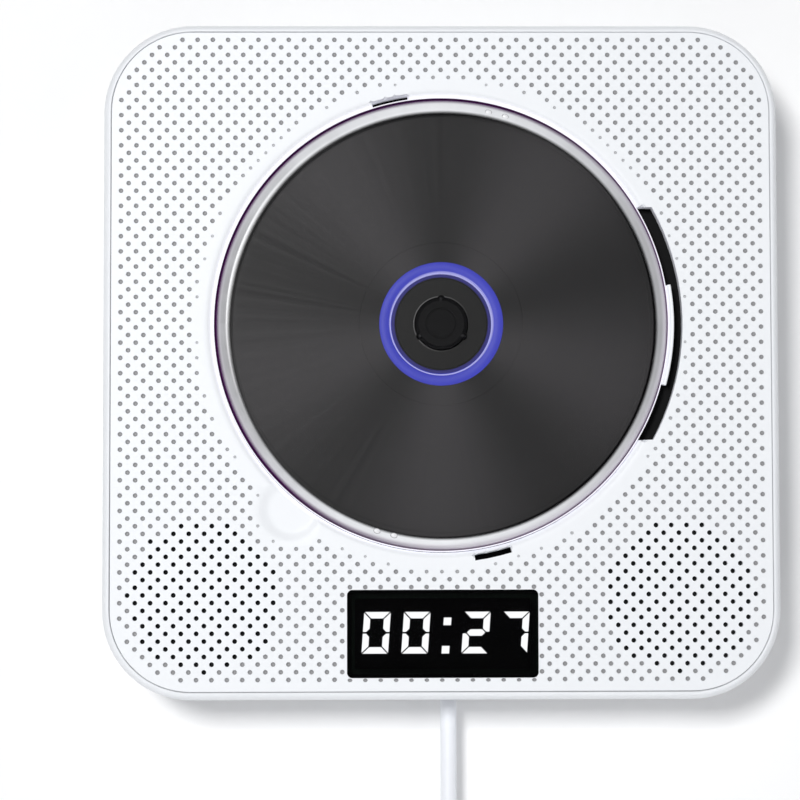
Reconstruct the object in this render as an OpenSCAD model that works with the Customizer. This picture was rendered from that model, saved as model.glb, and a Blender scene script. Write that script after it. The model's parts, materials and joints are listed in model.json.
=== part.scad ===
// Wall mounted player for compact discs, with a pull-cord switch.
// Every module draws on a bench frame: x to the right, y up the wall, z out of the wall.
// upright() turns that frame so that +Z is up and the front faces -Y.
// The origin is the middle of the bracket's two wall screws, on the wall.

/* [Case] */
// Width of the case
body_w = 190; // [186:1:206]
// Height of the case
body_h = 190; // [190:1:206]
// Depth of the case without its feet
body_d = 40; // [40:0.5:48]
// Radius of the four corners, seen from the front
corner_r = 25; // [20:0.5:27]
// Wall of both shells
wall = 2.2; // [1.8:0.1:2.4]
// Width of the rounded front edge
edge_in = 1.9; // [1:0.1:2]
// Depth of the rounded front edge
edge_out = 4.5; // [2:0.1:5]
// Radius of the rounded back edge
back_edge = 3; // [2:0.1:4]
// Depth of the rear shell
rear_d = 19; // [19:0.5:21]
// Radius of a rubber foot
foot_r = 6; // [4:0.5:8]
// Height of a rubber foot
foot_h = 1; // [0.6:0.1:2]

/* [Front plate] */
// Thickness of the perforated plate
face_t = 2; // [1.8:0.1:2.4]
// Border of the front shell around the plate
face_inset = 2.3; // [2.1:0.1:3]
// Gap around the plate
face_gap = 0.15; // [0.1:0.05:0.3]
// Distance between neighbouring rows of dots
dot_step = 2.14; // [2:0.01:2.4]
// Radius of a hole over a speaker
dot_r = 0.68; // [0.5:0.01:0.8]
// Distance of the first row of dots from the top of the case
dot_margin = 4.5; // [4:0.1:7]

/* [Disc well] */
// Height of the disc's centre above the middle of the case
disc_up = 10.2; // [9:0.1:12]
// Radius of the well's edge on the front face
well_r = 66.5; // [66:0.1:67]
// Radius of the well's throat, which centres the dust cover
throat_r = 64.2; // [64.1:0.05:64.6]
// Depth of the sloping lip around the well
lip_d = 3; // [2:0.1:3.4]
// Outer radius of the well's ring and of the tray
tray_r = 70; // [70:0.1:71]
// Thickness of the tray
tray_t = 2; // [1.6:0.1:2.2]
// Free depth between the tray and the disc
under_disc = 4; // [4:0.1:4.4]
// Outer radius of the finger notch
notch_r = 67.8; // [67:0.1:68]
// Half height of the finger notch
notch_half = 32.8; // [25:0.1:36]
// Radius of the finger scoop
scoop_r = 8.3; // [5:0.1:9]
// Depth of the finger scoop
scoop_d = 1.1; // [0.5:0.1:1.4]

/* [Disc] */
// Radius of the disc
disc_r = 60; // [60:0.1:60.2]
// Thickness of the disc
disc_t = 1.2; // [1.1:0.1:1.4]
// Radius of the disc's hole
disc_hole_r = 7.5; // [7.5:0.05:7.7]
// Depth of the disc's face below the front face
disc_drop = 1.8; // [1.8:0.1:2]
// Inner radius of the coloured ring
ring_in = 14.6; // [13:0.1:15]
// Outer radius of the coloured ring
ring_out = 17.4; // [16:0.1:19]

/* [Dust cover] */
// Radius of the cover's foot
cover_r = 63.6; // [63.2:0.1:63.7]
// Wall of the cover
cover_t = 1.2; // [1:0.1:1.3]
// Width of the cover's rounded shoulder
shoulder_in = 3.6; // [3:0.1:4.2]
// Depth of the cover's rounded shoulder
shoulder_out = 4.5; // [3.8:0.1:5.5]
// Height by which the cover stands proud of the front face
cover_proud = 2; // [2:0.1:3.5]
// Outer radius of the seal under the cover
seal_r = 63.95; // [63.8:0.01:64]

/* [Display] */
// Width of the window
window_w = 53.4; // [53:0.1:56]
// Height of the window
window_h = 24.5; // [24:0.1:26]
// Radius of the window's corners
window_r = 1.5; // [0.5:0.1:3]
// Shift of the window to the right
window_x = 0.2; // [0:0.1:1]
// Height of the window's middle above the bottom of the case
window_up = 18.4; // [18:0.1:20]
// Height of a digit
digit_h = 11.6; // [10:0.1:13]
// Width of a digit without its slant
digit_w = 7.4; // [6:0.1:7.4]
// Thickness of a lit bar
bar_t = 1.8; // [1:0.1:2]
// Slant of the digits
slant = 4; // [0:1:9]

/* [Speakers] */
// Distance of a speaker's centre from the middle line
speaker_x = 66.4; // [66:0.1:67]
// Height of a speaker's centre above the bottom of the case
speaker_up = 29; // [27.5:0.1:29]
// Radius of the area of holes over a speaker
grille_r = 21.4; // [16:0.1:21.5]
// Radius of a speaker's frame
speaker_r = 24; // [23.6:0.1:24.2]
// Radius of a cone
cone_r = 17.6; // [16:0.1:17.8]
// Radius of a magnet
magnet_r = 13; // [11:0.5:14]
// Thickness of a magnet
magnet_t = 7; // [5:0.5:8]
// Free travel of a cone each way
cone_travel = 0.5; // [0.3:0.1:0.6]

/* [Buttons] */
// Distance between buttons
button_pitch = 13; // [12:0.5:13.5]
// Length of a button
button_l = 9; // [7:0.5:9.5]
// Width of a button
button_w = 4.6; // [4:0.1:5]
// Height of a button above the case
button_proud = 0.6; // [0.4:0.1:1]
// Travel of a button
button_travel = 0.5; // [0.3:0.1:0.6]

/* [Pull switch] */
// Distance of the cord from the middle line
cord_x = 2.2; // [1:0.1:4]
// Distance of the cord from the wall
cord_out = 12; // [11.5:0.1:12.5]
// Diameter of the cord
cord_d = 4.6; // [4:0.1:5]
// Travel of the pull switch
pull_travel = 8; // [6:0.5:9]
// Radius of the knob at the cord's end
knob_r = 6.5; // [5:0.5:9]
// Length of the knob
knob_l = 22; // [18:0.5:26]
// Wire radius of the switch's spring
spring_wire = 0.35; // [0.25:0.05:0.4]
// Turns of the switch's spring
spring_turns = 7; // [5:1:8]

/* [Deck] */
// Thickness of the deck's plate
deck_t = 2; // [1.5:0.1:2.2]
// Radius of the motor that turns the disc
motor_r = 12; // [11:0.5:12.5]
// Length of the motor that turns the disc
motor_l = 12.4; // [10:0.1:12.6]
// Radius of the motor's shaft
shaft_r = 1; // [0.8:0.05:1.2]
// Radius of the turntable
table_r = 14.4; // [12:0.1:15]
// Radius of the guide rods
rod_r = 1.5; // [1.2:0.1:1.6]
// Distance of a guide rod from the line that the lens runs along
rod_off = 17; // [16.8:0.1:17.3]
// Distance of the lens from the disc's centre at rest
lens_start = 24; // [23.5:0.1:24.5]
// Travel of the pickup
sled_travel = 33; // [28:0.5:33]
// Radius of the lens
lens_r = 2; // [1.5:0.1:2.2]
// Radial clearance of running parts
run_gap = 0.05; // [0.03:0.01:0.08]

/* [Gears] */
// Size of the teeth, pitch diameter over number of teeth
tooth_m = 0.5; // [0.48:0.01:0.5]
// Teeth of the small gear that drives the rack
small_n = 16; // [14:1:16]
// Teeth of the large gear
large_n = 36; // [34:1:38]
// Teeth of the motor's pinion
pinion_n = 10; // [9:1:11]

/* [Circuit boards and sockets] */
// Thickness of the circuit boards
board_t = 1.6; // [1:0.1:1.8]
// Radius of the bore in the audio socket
audio_r = 1.8; // [1.75:0.01:1.9]
// Radius of the power socket
power_r = 2.75; // [2.5:0.05:3]

/* [Wall bracket] */
// Width of the bracket
bracket_w = 56; // [52:1:60]
// Height of the bracket
bracket_h = 36; // [34:1:40]
// Thickness of the bracket's plate and hooks
bracket_t = 2; // [1.5:0.1:2.2]
// Distance between the two wall screws
screw_span = 40; // [38:1:42]
// Radius of the holes for the wall screws
screw_hole_r = 2.25; // [2:0.05:2.6]
// Height that the case lifts to come off its hooks
lift = 9; // [9:0.5:10]

/* [Hidden] */
$fn = 72;
eps = 0.01;

// Colours as the photograph shows them, and plain ones for what it hides
white = [0.97, 0.98, 0.99];
black = [0.05, 0.05, 0.06];
charcoal = [0.20, 0.20, 0.21];
ring_blue = [0.28, 0.29, 0.77];
violet = [0.29, 0.12, 0.33];
steel = [0.70, 0.71, 0.73];
green = [0.10, 0.36, 0.22];

// Planes of the case, measured out from the wall
back_out = foot_h;
face_out = back_out + body_d;
plate_back = face_out - face_t;
lip_back = plate_back - lip_d;
split_out = back_out + rear_d;
edge_steps = 10;
plate_inset = face_inset + face_gap;
ledge_w = 2.7;
ledge_t = 1.8;

// Planes of the disc and its deck
disc_top = face_out - disc_drop;
disc_under = disc_top - disc_t;
tray_front = disc_under - under_disc;
tray_back = tray_front - tray_t;
tray_wall = 1.8;
seat_out = tray_front + 3;
seat_in_r = 62.2;
deck_room = 5;
deck_front = tray_back - deck_room;
deck_back = deck_front - deck_t;
table_t = 2.4;
ring_t = 0.2;
cap_r = disc_hole_r - 0.15;
cap_top = disc_top + 2;
ball_r = 1.1;
ball_out = disc_top + 1;
ball_at = cap_r - 0.45;
motor_back = deck_back - motor_l;

// Planes of the dust cover
cover_top = face_out + cover_proud;
seal_t = 0.25;
foot_back = seat_out + seal_t;
shoulder_back = cover_top - shoulder_out;
tab_up = 9.6;
tab_down = 15.5;
tab_w = 1.8;
pip_angles = [75, 255];

// The cut-outs in the well's lip, as [angle, inner radius, outer radius]
slots = [[102.8, 63.4, 65.3], [-77.5, 65.6, 67.1]];
slot_angle = 9;
scoop_angle = 231;
scoop_at = 67;

// Fasteners
screw_r = 1.2;
pilot_r = 1.25;
head_r = 2.4;
head_t = 1.4;
long_screw_r = 1.5;
long_head_r = 2.8;
post_r = 4;
boss_r = 3.4;
post_inset = 15;
high_post = [body_w / 2 - post_inset, body_h / 2 - post_inset];
low_post = [41, -body_h / 2 + 9.3];
case_posts = [[-high_post.x, high_post.y], high_post, [-low_post.x, low_post.y], low_post];
post_split = 24;
head_floor = back_out + 5;
foot_corner = 19;
long_screw_end = plate_back - 3;
tray_ear_angles = [45, 135, 215, 325];
tray_ear_at = tray_r + 4;

// The deck, in distances from the disc's centre
sled_in = 15;
sled_len = 21;
sled_half = 14;
sled_back = deck_back - 5;
sled_top = deck_front + 2.4;
rod_out = deck_back - 2.5;
window_in = sled_in - 1.2;
window_far = lens_start + sled_travel + 13.5;
window_half = 21;
deck_right = 22;
deck_left = window_far + 6.5;
deck_up = 31;
deck_down = 49;
damper_at = [[-50, 26.5], [18, 26.5], [-49, -35.5], [18, -35.5]];
damper_r = 4;
damper_neck = 2.9;
damper_bore = 1.6;
damper_lip = 1.4;
rod_block = 5;
tower_half = 4;
tower_side = 6;
tower_top = disc_under - 4.6;
holder_gap = 0.5;
holder_t = 2;
holder_top = tower_top + holder_gap + holder_t;
lens_crown = 0.6;
lens_low = tower_top + holder_gap + 0.8;
tray_slot_half = 11;
tray_slot_far = lens_start + sled_travel + tower_half + 1.5;

// The gears, in distances from the disc's centre
tooth_pitch = PI * tooth_m;
small_r = small_n * tooth_m / 2;
large_r = large_n * tooth_m / 2;
pinion_r = pinion_n * tooth_m / 2;
rack_v = -24;
gear_u = -34;
gear_v = rack_v - small_r;
pinion_v = gear_v - large_r - pinion_r;
gear_out = deck_front + 0.6;
small_t = 1.8;
large_out = gear_out + small_t + 0.2;
large_t = 1.3;
gear_pin_r = 0.9;
rack_from = gear_u - 2.6 * tooth_pitch;
rack_to = gear_u + sled_travel + 2.6 * tooth_pitch;
rack_back_v = -21;
sled_motor_r = 7.5;
sled_motor_l = 9;
pinion_shaft_r = 0.75;

// The display
display_up = -body_h / 2 + window_up;
window_lip = 2;
window_lip_t = 0.4;
window_back = plate_back - window_lip_t;
window_front_t = 1.2;
window_gap = 0.15;
module_front = face_out - 0.1 - window_front_t - 0.8;
module_t = 6;
module_w = window_w - 4.4;
module_h = window_h - 4.8;
digit_t = 0.5;
digit_gap = 0.25;
digit_at = [-18.6, -7.5, 9.3, 20.2];
digit_shift = 0.3;
colon_x = 1.1;
colon_size = 2.1;
colon_heights = [0.09, 0.77];
display_board_back = module_front - module_t - board_t;
display_post = [31.5, -8];
receiver_up = 5.5;

// The speakers
speaker_y = -body_h / 2 + speaker_up;
cloth_t = 0.3;
flange_front = plate_back - cloth_t;
flange_t = 1;
flange_back = flange_front - flange_t;
roll_in = cone_r + 0.2;
roll_out = speaker_r - 3.2;
roll_base = flange_front - 0.3 - (roll_out - roll_in) / 2;
basket_depth = 11;
magnet_front = flange_back - basket_depth;
plate_t = 1;
coil_r = 6.5;
coil_gap = 0.6;
coil_floor = 2.5;
coil_back = magnet_front - magnet_t + coil_floor + cone_travel;
speaker_post_at = speaker_r + 2.2;
speaker_post_angles = [45, 135, 225];

// The buttons and their board
button_out = face_out - 12;
button_count = 6;
button_gap = 0.2;
key_board_top = body_h / 2 - wall - 8.8;
key_base_h = 3.5;
key_top = key_board_top + 4.5;
button_flange = 1;
button_rest_gap = 0.3;
key_post_x = button_pitch * button_count / 2 + 2;
key_board_side = 3.5;
key_board_half = 7;

// The pull switch and its cord
bottom_in = -body_h / 2 + wall;
switch_low = bottom_in + 1.6;
switch_wall = 1.6;
switch_w = 14;
chamber_r = 5;
chamber_floor = 3.2;
chamber_low = switch_low + chamber_floor;
slider_t = 3;
slider_head = 3.4;
spring_squeezed = 8.4;
switch_h = chamber_floor + spring_squeezed + pull_travel + slider_t + slider_head;
slider_top = switch_low + switch_h - slider_head;
rod_end = slider_top - slider_t - spring_squeezed + 0.9;
cord_bore = cord_d / 2 + 0.4;
gland_r = cord_bore + 1.6;
gland_rim = 0.6;

// The cord's route from the slider down to the knob, in the bench frame
cord_route = [
    [cord_x, rod_end, cord_out], [cord_x, -92, cord_out], [cord_x, -104, cord_out],
    [cord_x, -116, cord_out], [cord_x, -128, cord_out], [cord_x, -140, cord_out],
    [cord_x, -152, cord_out], [cord_x, -164, cord_out], [cord_x, -176, cord_out],
    [cord_x, -188, cord_out], [cord_x, -200, cord_out], [cord_x, -212, cord_out],
    [cord_x, -223, cord_out], [cord_x, -234, cord_out], [cord_x, -245, cord_out]
];
cord_end = cord_route[len(cord_route) - 1].y;
knob_grip = 8;
knob_round = 3;

// The main board and its sockets
main_back = back_out + 8.5;
main_front = main_back + board_t;
main_left = -50;
main_right = body_w / 2 - wall - 1;
main_low = -63;
main_high = -32.5;
main_posts = [[-46, -36], [-46, -59], [40, -36], [40, -59]];
socket_y = [-37, -48, -58.5];
socket_out = main_front + 3.7;
socket_l = 12;
usb_w = 13.2;
socket_opening_l = 20;

// The wall bracket and the pocket for it in the rear shell
hook_w = 12;
hook_x = 9;
hook_y = 6;
hook_stem = 2.5;
hook_gap = 0.05;
hook_leg = lift - 1;
pocket_floor = bracket_t + 3;
pocket_wall = 2;
hook_back = pocket_floor + pocket_wall + 0.3;
hook_front = hook_back + bracket_t;
pocket_side = 1;
pocket_half = bracket_w / 2 + pocket_side;
pocket_low = -bracket_h / 2 - lift - pocket_side;
pocket_high = bracket_h / 2 + pocket_side;

// Turns the bench frame upright
module upright() { rotate([90, 0, 0]) children(); }

// Moves to the disc's centre on the wall
module at_disc() { translate([0, disc_up, 0]) children(); }

// Lifts a shape to a distance from the wall
module out(d) { translate([0, 0, d]) children(); }

// A ring between two radii
module ring(r_in, r_out, from, to) {
    out(from) difference() {
        cylinder(h = to - from, r = r_out);
        out(-1) cylinder(h = to - from + 2, r = r_in);
    }
}

// A rod between two distances from the wall
module rod(r, from, to) { out(from) cylinder(h = to - from, r = r); }

// A block between two corners
module block(low, high) { translate(low) cube(high - low); }

// A rectangle between two corners
module block_2d(low, high) { translate(low) square(high - low); }

// A rectangle with rounded corners, drawn without hulls so that its corners stay true arcs
module soft_square(w, h, r) {
    square([w - 2 * r, h], center = true);
    square([w, h - 2 * r], center = true);
    for (x = [-1, 1], y = [-1, 1])
        translate([x * (w / 2 - r), y * (h / 2 - r)]) circle(r = r);
}

// The case's outline, drawn in by a distance
module case_outline(inset) {
    soft_square(body_w - 2 * inset, body_h - 2 * inset, corner_r - inset);
}

// Carries a profile of [inset, distance out] once round the case
module around_case(profile) {
    turned = [for (p = profile) [corner_r - p.x, p.y]];
    for (a = [0, 180]) rotate(a) {
        translate([-body_w / 2 + corner_r, -body_h / 2, 0]) rotate([90, 0, 90])
            linear_extrude(body_w - 2 * corner_r) polygon(profile);
        translate([-body_w / 2, body_h / 2 - corner_r, 0]) rotate([90, 0, 0])
            linear_extrude(body_h - 2 * corner_r) polygon(profile);
    }
    for (a = [0:3], sx = a == 0 || a == 3 ? 1 : -1, sy = a < 2 ? 1 : -1)
        translate([sx * (body_w / 2 - corner_r), sy * (body_h / 2 - corner_r), 0])
            rotate(90 * a) rotate_extrude(angle = 90) polygon(turned);
}

// A screw that points out of the wall, with a pan head and a cross recess
module screw(r, head, head_h, from, to) {
    difference() {
        union() {
            rod(head, from - head_h, from);
            rod(r, from - eps, to);
        }
        for (a = [0, 90]) rotate(a)
            block([-head * 0.6, -0.3, from - head_h - 1], [head * 0.6, 0.3, from - head_h * 0.5]);
    }
}

// A tube of given sides along points, ring by ring, each ring square to the path
function path_dir(path, i) =
    let (a = path[max(i - 1, 0)], b = path[min(i + 1, len(path) - 1)]) (b - a) / norm(b - a);
function path_ring(path, i, r, sides) =
    let (t = path_dir(path, i), side = cross(t, [0, 0, 1]), u = side / norm(side), v = cross(t, u))
    [for (k = [0:sides - 1]) path[i] + r * (cos(360 * k / sides) * u + sin(360 * k / sides) * v)];
module tube_along(path, r, sides) {
    count = len(path);
    points = [for (i = [0:count - 1]) each path_ring(path, i, r, sides)];
    skin = [for (i = [0:count - 2], k = [0:sides - 1])
        let (a = i * sides + k, b = i * sides + (k + 1) % sides)
        each [[a, b, b + sides], [a, b + sides, a + sides]]];
    first = [for (k = [1:sides - 2]) [0, k + 1, k]];
    last_ring = (count - 1) * sides;
    last = [for (k = [1:sides - 2]) [last_ring, last_ring + k, last_ring + k + 1]];
    polyhedron(points = points, faces = concat(skin, first, last));
}

// The outline of a gear: each tooth is a trapezoid that leaves play on both flanks
tooth_root = 0.27;
tooth_tip = 0.12;
tooth_height = 0.8;
tooth_depth = 1.1;
function gear_outline(n, first) = [for (i = [0:n - 1], k = [0:3])
    let (a = first + (i + [-tooth_root, -tooth_tip, tooth_tip, tooth_root][k]) * 360 / n,
         r = n * tooth_m / 2 + (k == 1 || k == 2 ? tooth_height : -tooth_depth) * tooth_m)
    r * [cos(a), sin(a)]];

module wall_bracket() color(steel) upright() {
    difference() {
        linear_extrude(bracket_t) soft_square(bracket_w, bracket_h, 5);
        for (x = [-1, 1]) translate([x * screw_span / 2, 0, 0])
            rod(screw_hole_r, -1, bracket_t + 1);
    }
    for (x = [-1, 1]) {
        left = x * hook_x - hook_w / 2;
        block([left, hook_y, bracket_t - eps], [left + hook_w, hook_y + hook_stem, hook_front]);
        block([left, hook_y, hook_back], [left + hook_w, hook_y + hook_stem + hook_leg, hook_front]);
    }
}

module front_shell() color(white) upright() {
    rim = [for (i = [0:edge_steps]) let (a = 90 * i / edge_steps)
        [edge_in * (1 - cos(a)), face_out - edge_out * (1 - sin(a))]];
    profile = concat([[0, split_out]], rim, [
        [face_inset, face_out], [face_inset, plate_back], [face_inset + ledge_w, plate_back],
        [face_inset + ledge_w, plate_back - ledge_t], [wall, plate_back - ledge_t], [wall, split_out]]);
    difference() {
        union() {
            around_case(profile);
            for (x = [-1, 1]) translate([x * key_post_x, body_h / 2 - wall + 0.5, button_out])
                rotate([90, 0, 0]) cylinder(h = body_h / 2 - wall + 0.5 - key_board_top, r = 2.6);
        }
        for (i = [0:button_count - 1]) button_bore(i);
        ledge_cuts() {
            soft_square(window_w + 2 * window_lip + 0.6, window_h + 2 * window_lip + 0.6, window_r);
            circle(r = speaker_r + 0.3);
        }
        for (x = [-1, 1]) translate([x * key_post_x, key_board_top + 5, button_out])
            rotate([90, 0, 0]) cylinder(h = 6, r = pilot_r);
    }
}

// Opens the ledge for the window's lip, the first child, and for the speakers, the second
module ledge_cuts() out(plate_back - ledge_t - 1) linear_extrude(ledge_t + 1) {
    translate([window_x, display_up]) children(0);
    for (side = [-1, 1]) translate([side * speaker_x, speaker_y]) children(1);
}

// Where a button's middle lies
function button_at(i) = (i - (button_count - 1) / 2) * button_pitch;

// A stadium of the given length and width, standing along the case's height
module button_prism(l, w, low, high) {
    translate([0, low, button_out]) rotate([-90, 0, 0]) linear_extrude(high - low) {
        square([l - w, w], center = true);
        for (x = [-1, 1]) translate([x * (l - w) / 2, 0]) circle(d = w);
    }
}

module button_bore(i) {
    translate([button_at(i), 0, 0])
        button_prism(button_l + 2 * button_gap, button_w + 2 * button_gap,
            body_h / 2 - wall - 1, body_h / 2 + 1);
}

module push_button(i) color(white) upright() translate([button_at(i), 0, 0]) {
    flange_top = body_h / 2 - wall - button_rest_gap;
    button_prism(button_l, button_w, flange_top - eps, body_h / 2 + button_proud);
    button_prism(button_l + 2, button_w + 1.8, flange_top - button_flange, flange_top);
    button_prism(4, 2.4, key_top + button_travel + 0.1, flange_top - button_flange + eps);
}

module mode_button() { push_button(0); }
module previous_button() { push_button(1); }
module play_button() { push_button(2); }
module next_button() { push_button(3); }
module softer_button() { push_button(4); }
module louder_button() { push_button(5); }

module button_board() color(green) upright() difference() {
    block([-key_post_x - key_board_side, key_board_top - board_t, button_out - key_board_half],
        [key_post_x + key_board_side, key_board_top, button_out + key_board_half]);
    for (x = [-1, 1]) translate([x * key_post_x, key_board_top + 1, button_out])
        rotate([90, 0, 0]) cylinder(h = board_t + 2, r = pilot_r + 0.1);
}

module key_switches() color(black) upright() for (i = [0:button_count - 1])
    translate([button_at(i), key_board_top, button_out]) {
        block([-3, 0, -3], [3, key_base_h, 3]);
        translate([0, key_base_h - eps, 0]) rotate([-90, 0, 0])
            cylinder(h = key_top - key_board_top - key_base_h + eps, r = 1.6);
    }

// The holes over a speaker follow the grid of dots on the whole plate
module grille_holes(side) {
    rows = floor(body_h / dot_step);
    columns = ceil(body_w / 2 / dot_step);
    for (j = [0:rows], i = [-columns:columns]) {
        p = [i * dot_step, body_h / 2 - dot_margin - j * dot_step];
        if ((i + j) % 2 == 0 && norm(p - [side * speaker_x, speaker_y]) < grille_r)
            translate(p) circle(r = dot_r);
    }
}

module front_plate() color(white) upright() difference() {
    union() {
        out(plate_back) linear_extrude(face_t) difference() {
            case_outline(plate_inset);
            translate([0, disc_up]) circle(r = well_r, $fn = 180);
            translate([window_x, display_up]) soft_square(window_w, window_h, window_r);
            for (side = [-1, 1]) grille_holes(side);
        }
        at_disc() {
            rotate_extrude($fn = 180) polygon([
                [throat_r, lip_back], [tray_r, lip_back], [tray_r, face_out - scoop_d - 0.3],
                [well_r, face_out - scoop_d - 0.3], [well_r, face_out], [throat_r, face_out - lip_d]]);
            for (a = tray_ear_angles) rotate(a) translate([tray_ear_at, 0, 0])
                rod(boss_r, tray_front, plate_back + eps);
        }
        for (p = case_posts) translate(p) rod(post_r, post_split, plate_back + eps);
        for (side = [-1, 1], a = speaker_post_angles)
            speaker_post(side, a) rod(2, flange_back, plate_back + eps);
        for (x = [-1, 1]) translate([window_x + x * display_post.x, display_up + display_post.y])
            rod(2.4, display_board_back + board_t, plate_back + eps);
    }
    at_disc() {
        intersection() {
            ring(throat_r - 1, notch_r, lip_back - 1, face_out + 1);
            block([0, -notch_half, 0], [notch_r, notch_half, face_out + 2]);
        }
        for (s = slots) rotate(s[0] - slot_angle / 2)
            rotate_extrude(angle = slot_angle, $fn = 180)
                translate([s[1], lip_back - 1]) square([s[2] - s[1], face_out - lip_back + 2]);
        rotate(scoop_angle) translate([scoop_at, 0, 0]) rod(scoop_r, face_out - scoop_d, face_out + 1);
        for (a = tray_ear_angles) rotate(a) translate([tray_ear_at, 0, 0])
            rod(pilot_r, tray_front - 1, plate_back);
    }
    for (p = case_posts) translate(p) rod(long_screw_r + 0.05, post_split - 1, long_screw_end + 0.5);
    for (side = [-1, 1], a = speaker_post_angles) speaker_post(side, a)
        rod(pilot_r - 0.3, flange_back - 1, plate_back + 0.8);
    for (x = [-1, 1]) translate([window_x + x * display_post.x, display_up + display_post.y])
        rod(pilot_r, display_board_back, plate_back);
}

// Moves to one of the posts around a speaker; the left speaker is the right one's mirror image
module speaker_post(side, a) {
    scale_x = side > 0 ? 0 : 1;
    mirror([scale_x, 0, 0]) translate([speaker_x, speaker_y, 0]) rotate(a)
        translate([speaker_post_at, 0, 0]) children();
}

module rear_shell() color(white) upright() difference() {
    bend = [for (i = [0:6]) let (a = 90 * i / 6)
        [back_edge * (1 - cos(a)), back_out + back_edge * (1 - sin(a))]];
    union() {
        around_case(concat([[0, split_out]], bend, [
            [back_edge + 4, back_out], [back_edge + 4, back_out + 2], [back_edge + 1, back_out + 2],
            [wall, back_out + back_edge + 1.2], [wall, split_out]]));
        out(back_out) linear_extrude(2) case_outline(back_edge + 2);
        block([-pocket_half - pocket_wall, pocket_low - pocket_wall, back_out],
            [pocket_half + pocket_wall, pocket_high + pocket_wall, pocket_floor + pocket_wall]);
        for (p = case_posts) translate(p) rod(post_r, back_out + 1, post_split);
        for (p = main_posts) translate(p) rod(2.6, back_out + 1, main_back);
        for (x = [-1, 1]) translate([cord_x + x * (switch_w / 2 + 2.1) - 0.6, bottom_in - eps, back_out + 1])
            cube([1.2, 12, cord_out + 4]);
    }
    block([-pocket_half, pocket_low, -1], [pocket_half, pocket_high, pocket_floor]);
    for (x = [-1, 1]) {
        left = x * hook_x - hook_w / 2 - 0.5;
        block([left, hook_y - lift - 0.6, pocket_floor - 1],
            [left + hook_w + 1, hook_y + hook_stem + hook_gap, pocket_floor + pocket_wall + 1]);
    }
    for (p = case_posts) translate(p) {
        rod(long_screw_r + 0.1, -1, post_split + 1);
        rod(long_head_r + 0.3, -1, head_floor);
    }
    for (p = main_posts) translate(p) rod(pilot_r, back_out + 3, main_back + 1);
    translate([cord_x, 0, cord_out]) up_rod(gland_r + 0.05, -body_h / 2 - 1, bottom_in + 1);
    at_socket(0) rotate([0, 90, 0]) cylinder(h = socket_opening_l, r = 3.8);
    at_socket(1) block([0, -usb_w / 2 - 0.2, main_front - socket_out - 0.2],
        [socket_opening_l, usb_w / 2 + 0.2, 3.2]);
    at_socket(2) rotate([0, 90, 0]) cylinder(h = socket_opening_l, r = 3.2);
}

module rubber_feet() color(charcoal) upright() for (x = [-1, 1], y = [-1, 1])
    translate([x * (body_w / 2 - foot_corner), y * (body_h / 2 - foot_corner), 0]) rod(foot_r, 0, back_out);

module case_screws() color(steel) upright() for (p = case_posts)
    translate(p) screw(long_screw_r, long_head_r, 1.8, head_floor, long_screw_end);

// The short screws are all alike: tray, speakers, boards
module small_screws() color(steel) upright() {
    at_disc() for (a = tray_ear_angles) rotate(a) translate([tray_ear_at, 0, 0])
        screw(screw_r, head_r, head_t, tray_back, tray_front + 4);
    for (side = [-1, 1], a = speaker_post_angles) speaker_post(side, a)
        screw(pilot_r - 0.35, head_r + 0.5, 1, flange_back, plate_back + 0.6);
    for (p = main_posts) translate(p) rotate([180, 0, 0])
        screw(screw_r, head_r, head_t, -main_front, -main_front + 5);
    for (x = [-1, 1]) translate([window_x + x * display_post.x, display_up + display_post.y])
        screw(screw_r, head_r, head_t, display_board_back, display_board_back + 5);
    for (x = [-1, 1]) translate([x * key_post_x, 0, button_out]) rotate([-90, 0, 0])
        screw(screw_r, head_r, head_t, key_board_top - board_t, key_board_top + 3);
}

module disc_tray() color(black) upright() at_disc() difference() {
    union() {
        rod(tray_r, tray_back, tray_front);
        ring(tray_r - tray_wall, tray_r, tray_back, lip_back);
        ring(seat_in_r, throat_r - 0.1, tray_front - eps, seat_out);
        for (a = tray_ear_angles) rotate(a) {
            translate([tray_ear_at, 0, 0]) rod(boss_r, tray_back, tray_front);
            block([tray_r - 3, -boss_r, tray_back], [tray_ear_at, boss_r, tray_front]);
        }
        for (p = damper_at) translate(p) rod(3, deck_front + damper_lip, tray_back + eps);
    }
    rod(ring_out + 0.4, tray_back - 1, tray_front + 1);
    block([-tray_slot_far, -tray_slot_half, tray_back - 1], [0, tray_slot_half, tray_front + 1]);
    for (a = tray_ear_angles) rotate(a) translate([tray_ear_at, 0, 0])
        rod(screw_r + 0.1, tray_back - 1, tray_front + 1);
    for (p = damper_at) translate(p) rod(pilot_r, deck_front, tray_front - 0.6);
}

// The cover's shoulder is a quarter of an ellipse between its foot and its flat top
module dust_cover() color([0.86, 0.90, 0.94, 0.35]) upright() at_disc() {
    top_r = cover_r - shoulder_in;
    outside = [for (i = [0:edge_steps]) let (a = 90 * i / edge_steps)
        [top_r + shoulder_in * cos(a), shoulder_back + shoulder_out * sin(a)]];
    inside = [for (i = [edge_steps:-1:0]) let (a = 90 * i / edge_steps)
        [top_r - cover_t / 2 + (shoulder_in - cover_t / 2) * cos(a),
         shoulder_back + (shoulder_out - cover_t) * sin(a)]];
    rotate_extrude($fn = 180) polygon(concat([[cover_r, foot_back]], outside, [
        [0, cover_top], [0, cover_top - cover_t]], inside, [[cover_r - cover_t, foot_back]]));
    rotate(-tab_down) rotate_extrude(angle = tab_up + tab_down, $fn = 180) polygon([
        [cover_r - 0.3, foot_back + 0.6], [cover_r + tab_w, foot_back + 0.6],
        [cover_r + tab_w, face_out], [cover_r + tab_w - 0.8, face_out], [cover_r - 0.1, shoulder_back]]);
    for (a = pip_angles, s = [-1, 1]) rotate(a + s * 2.3) translate([top_r + 0.9, 0, 0])
        rod(0.7, cover_top - cover_t / 2, cover_top + 0.2);
}

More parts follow.
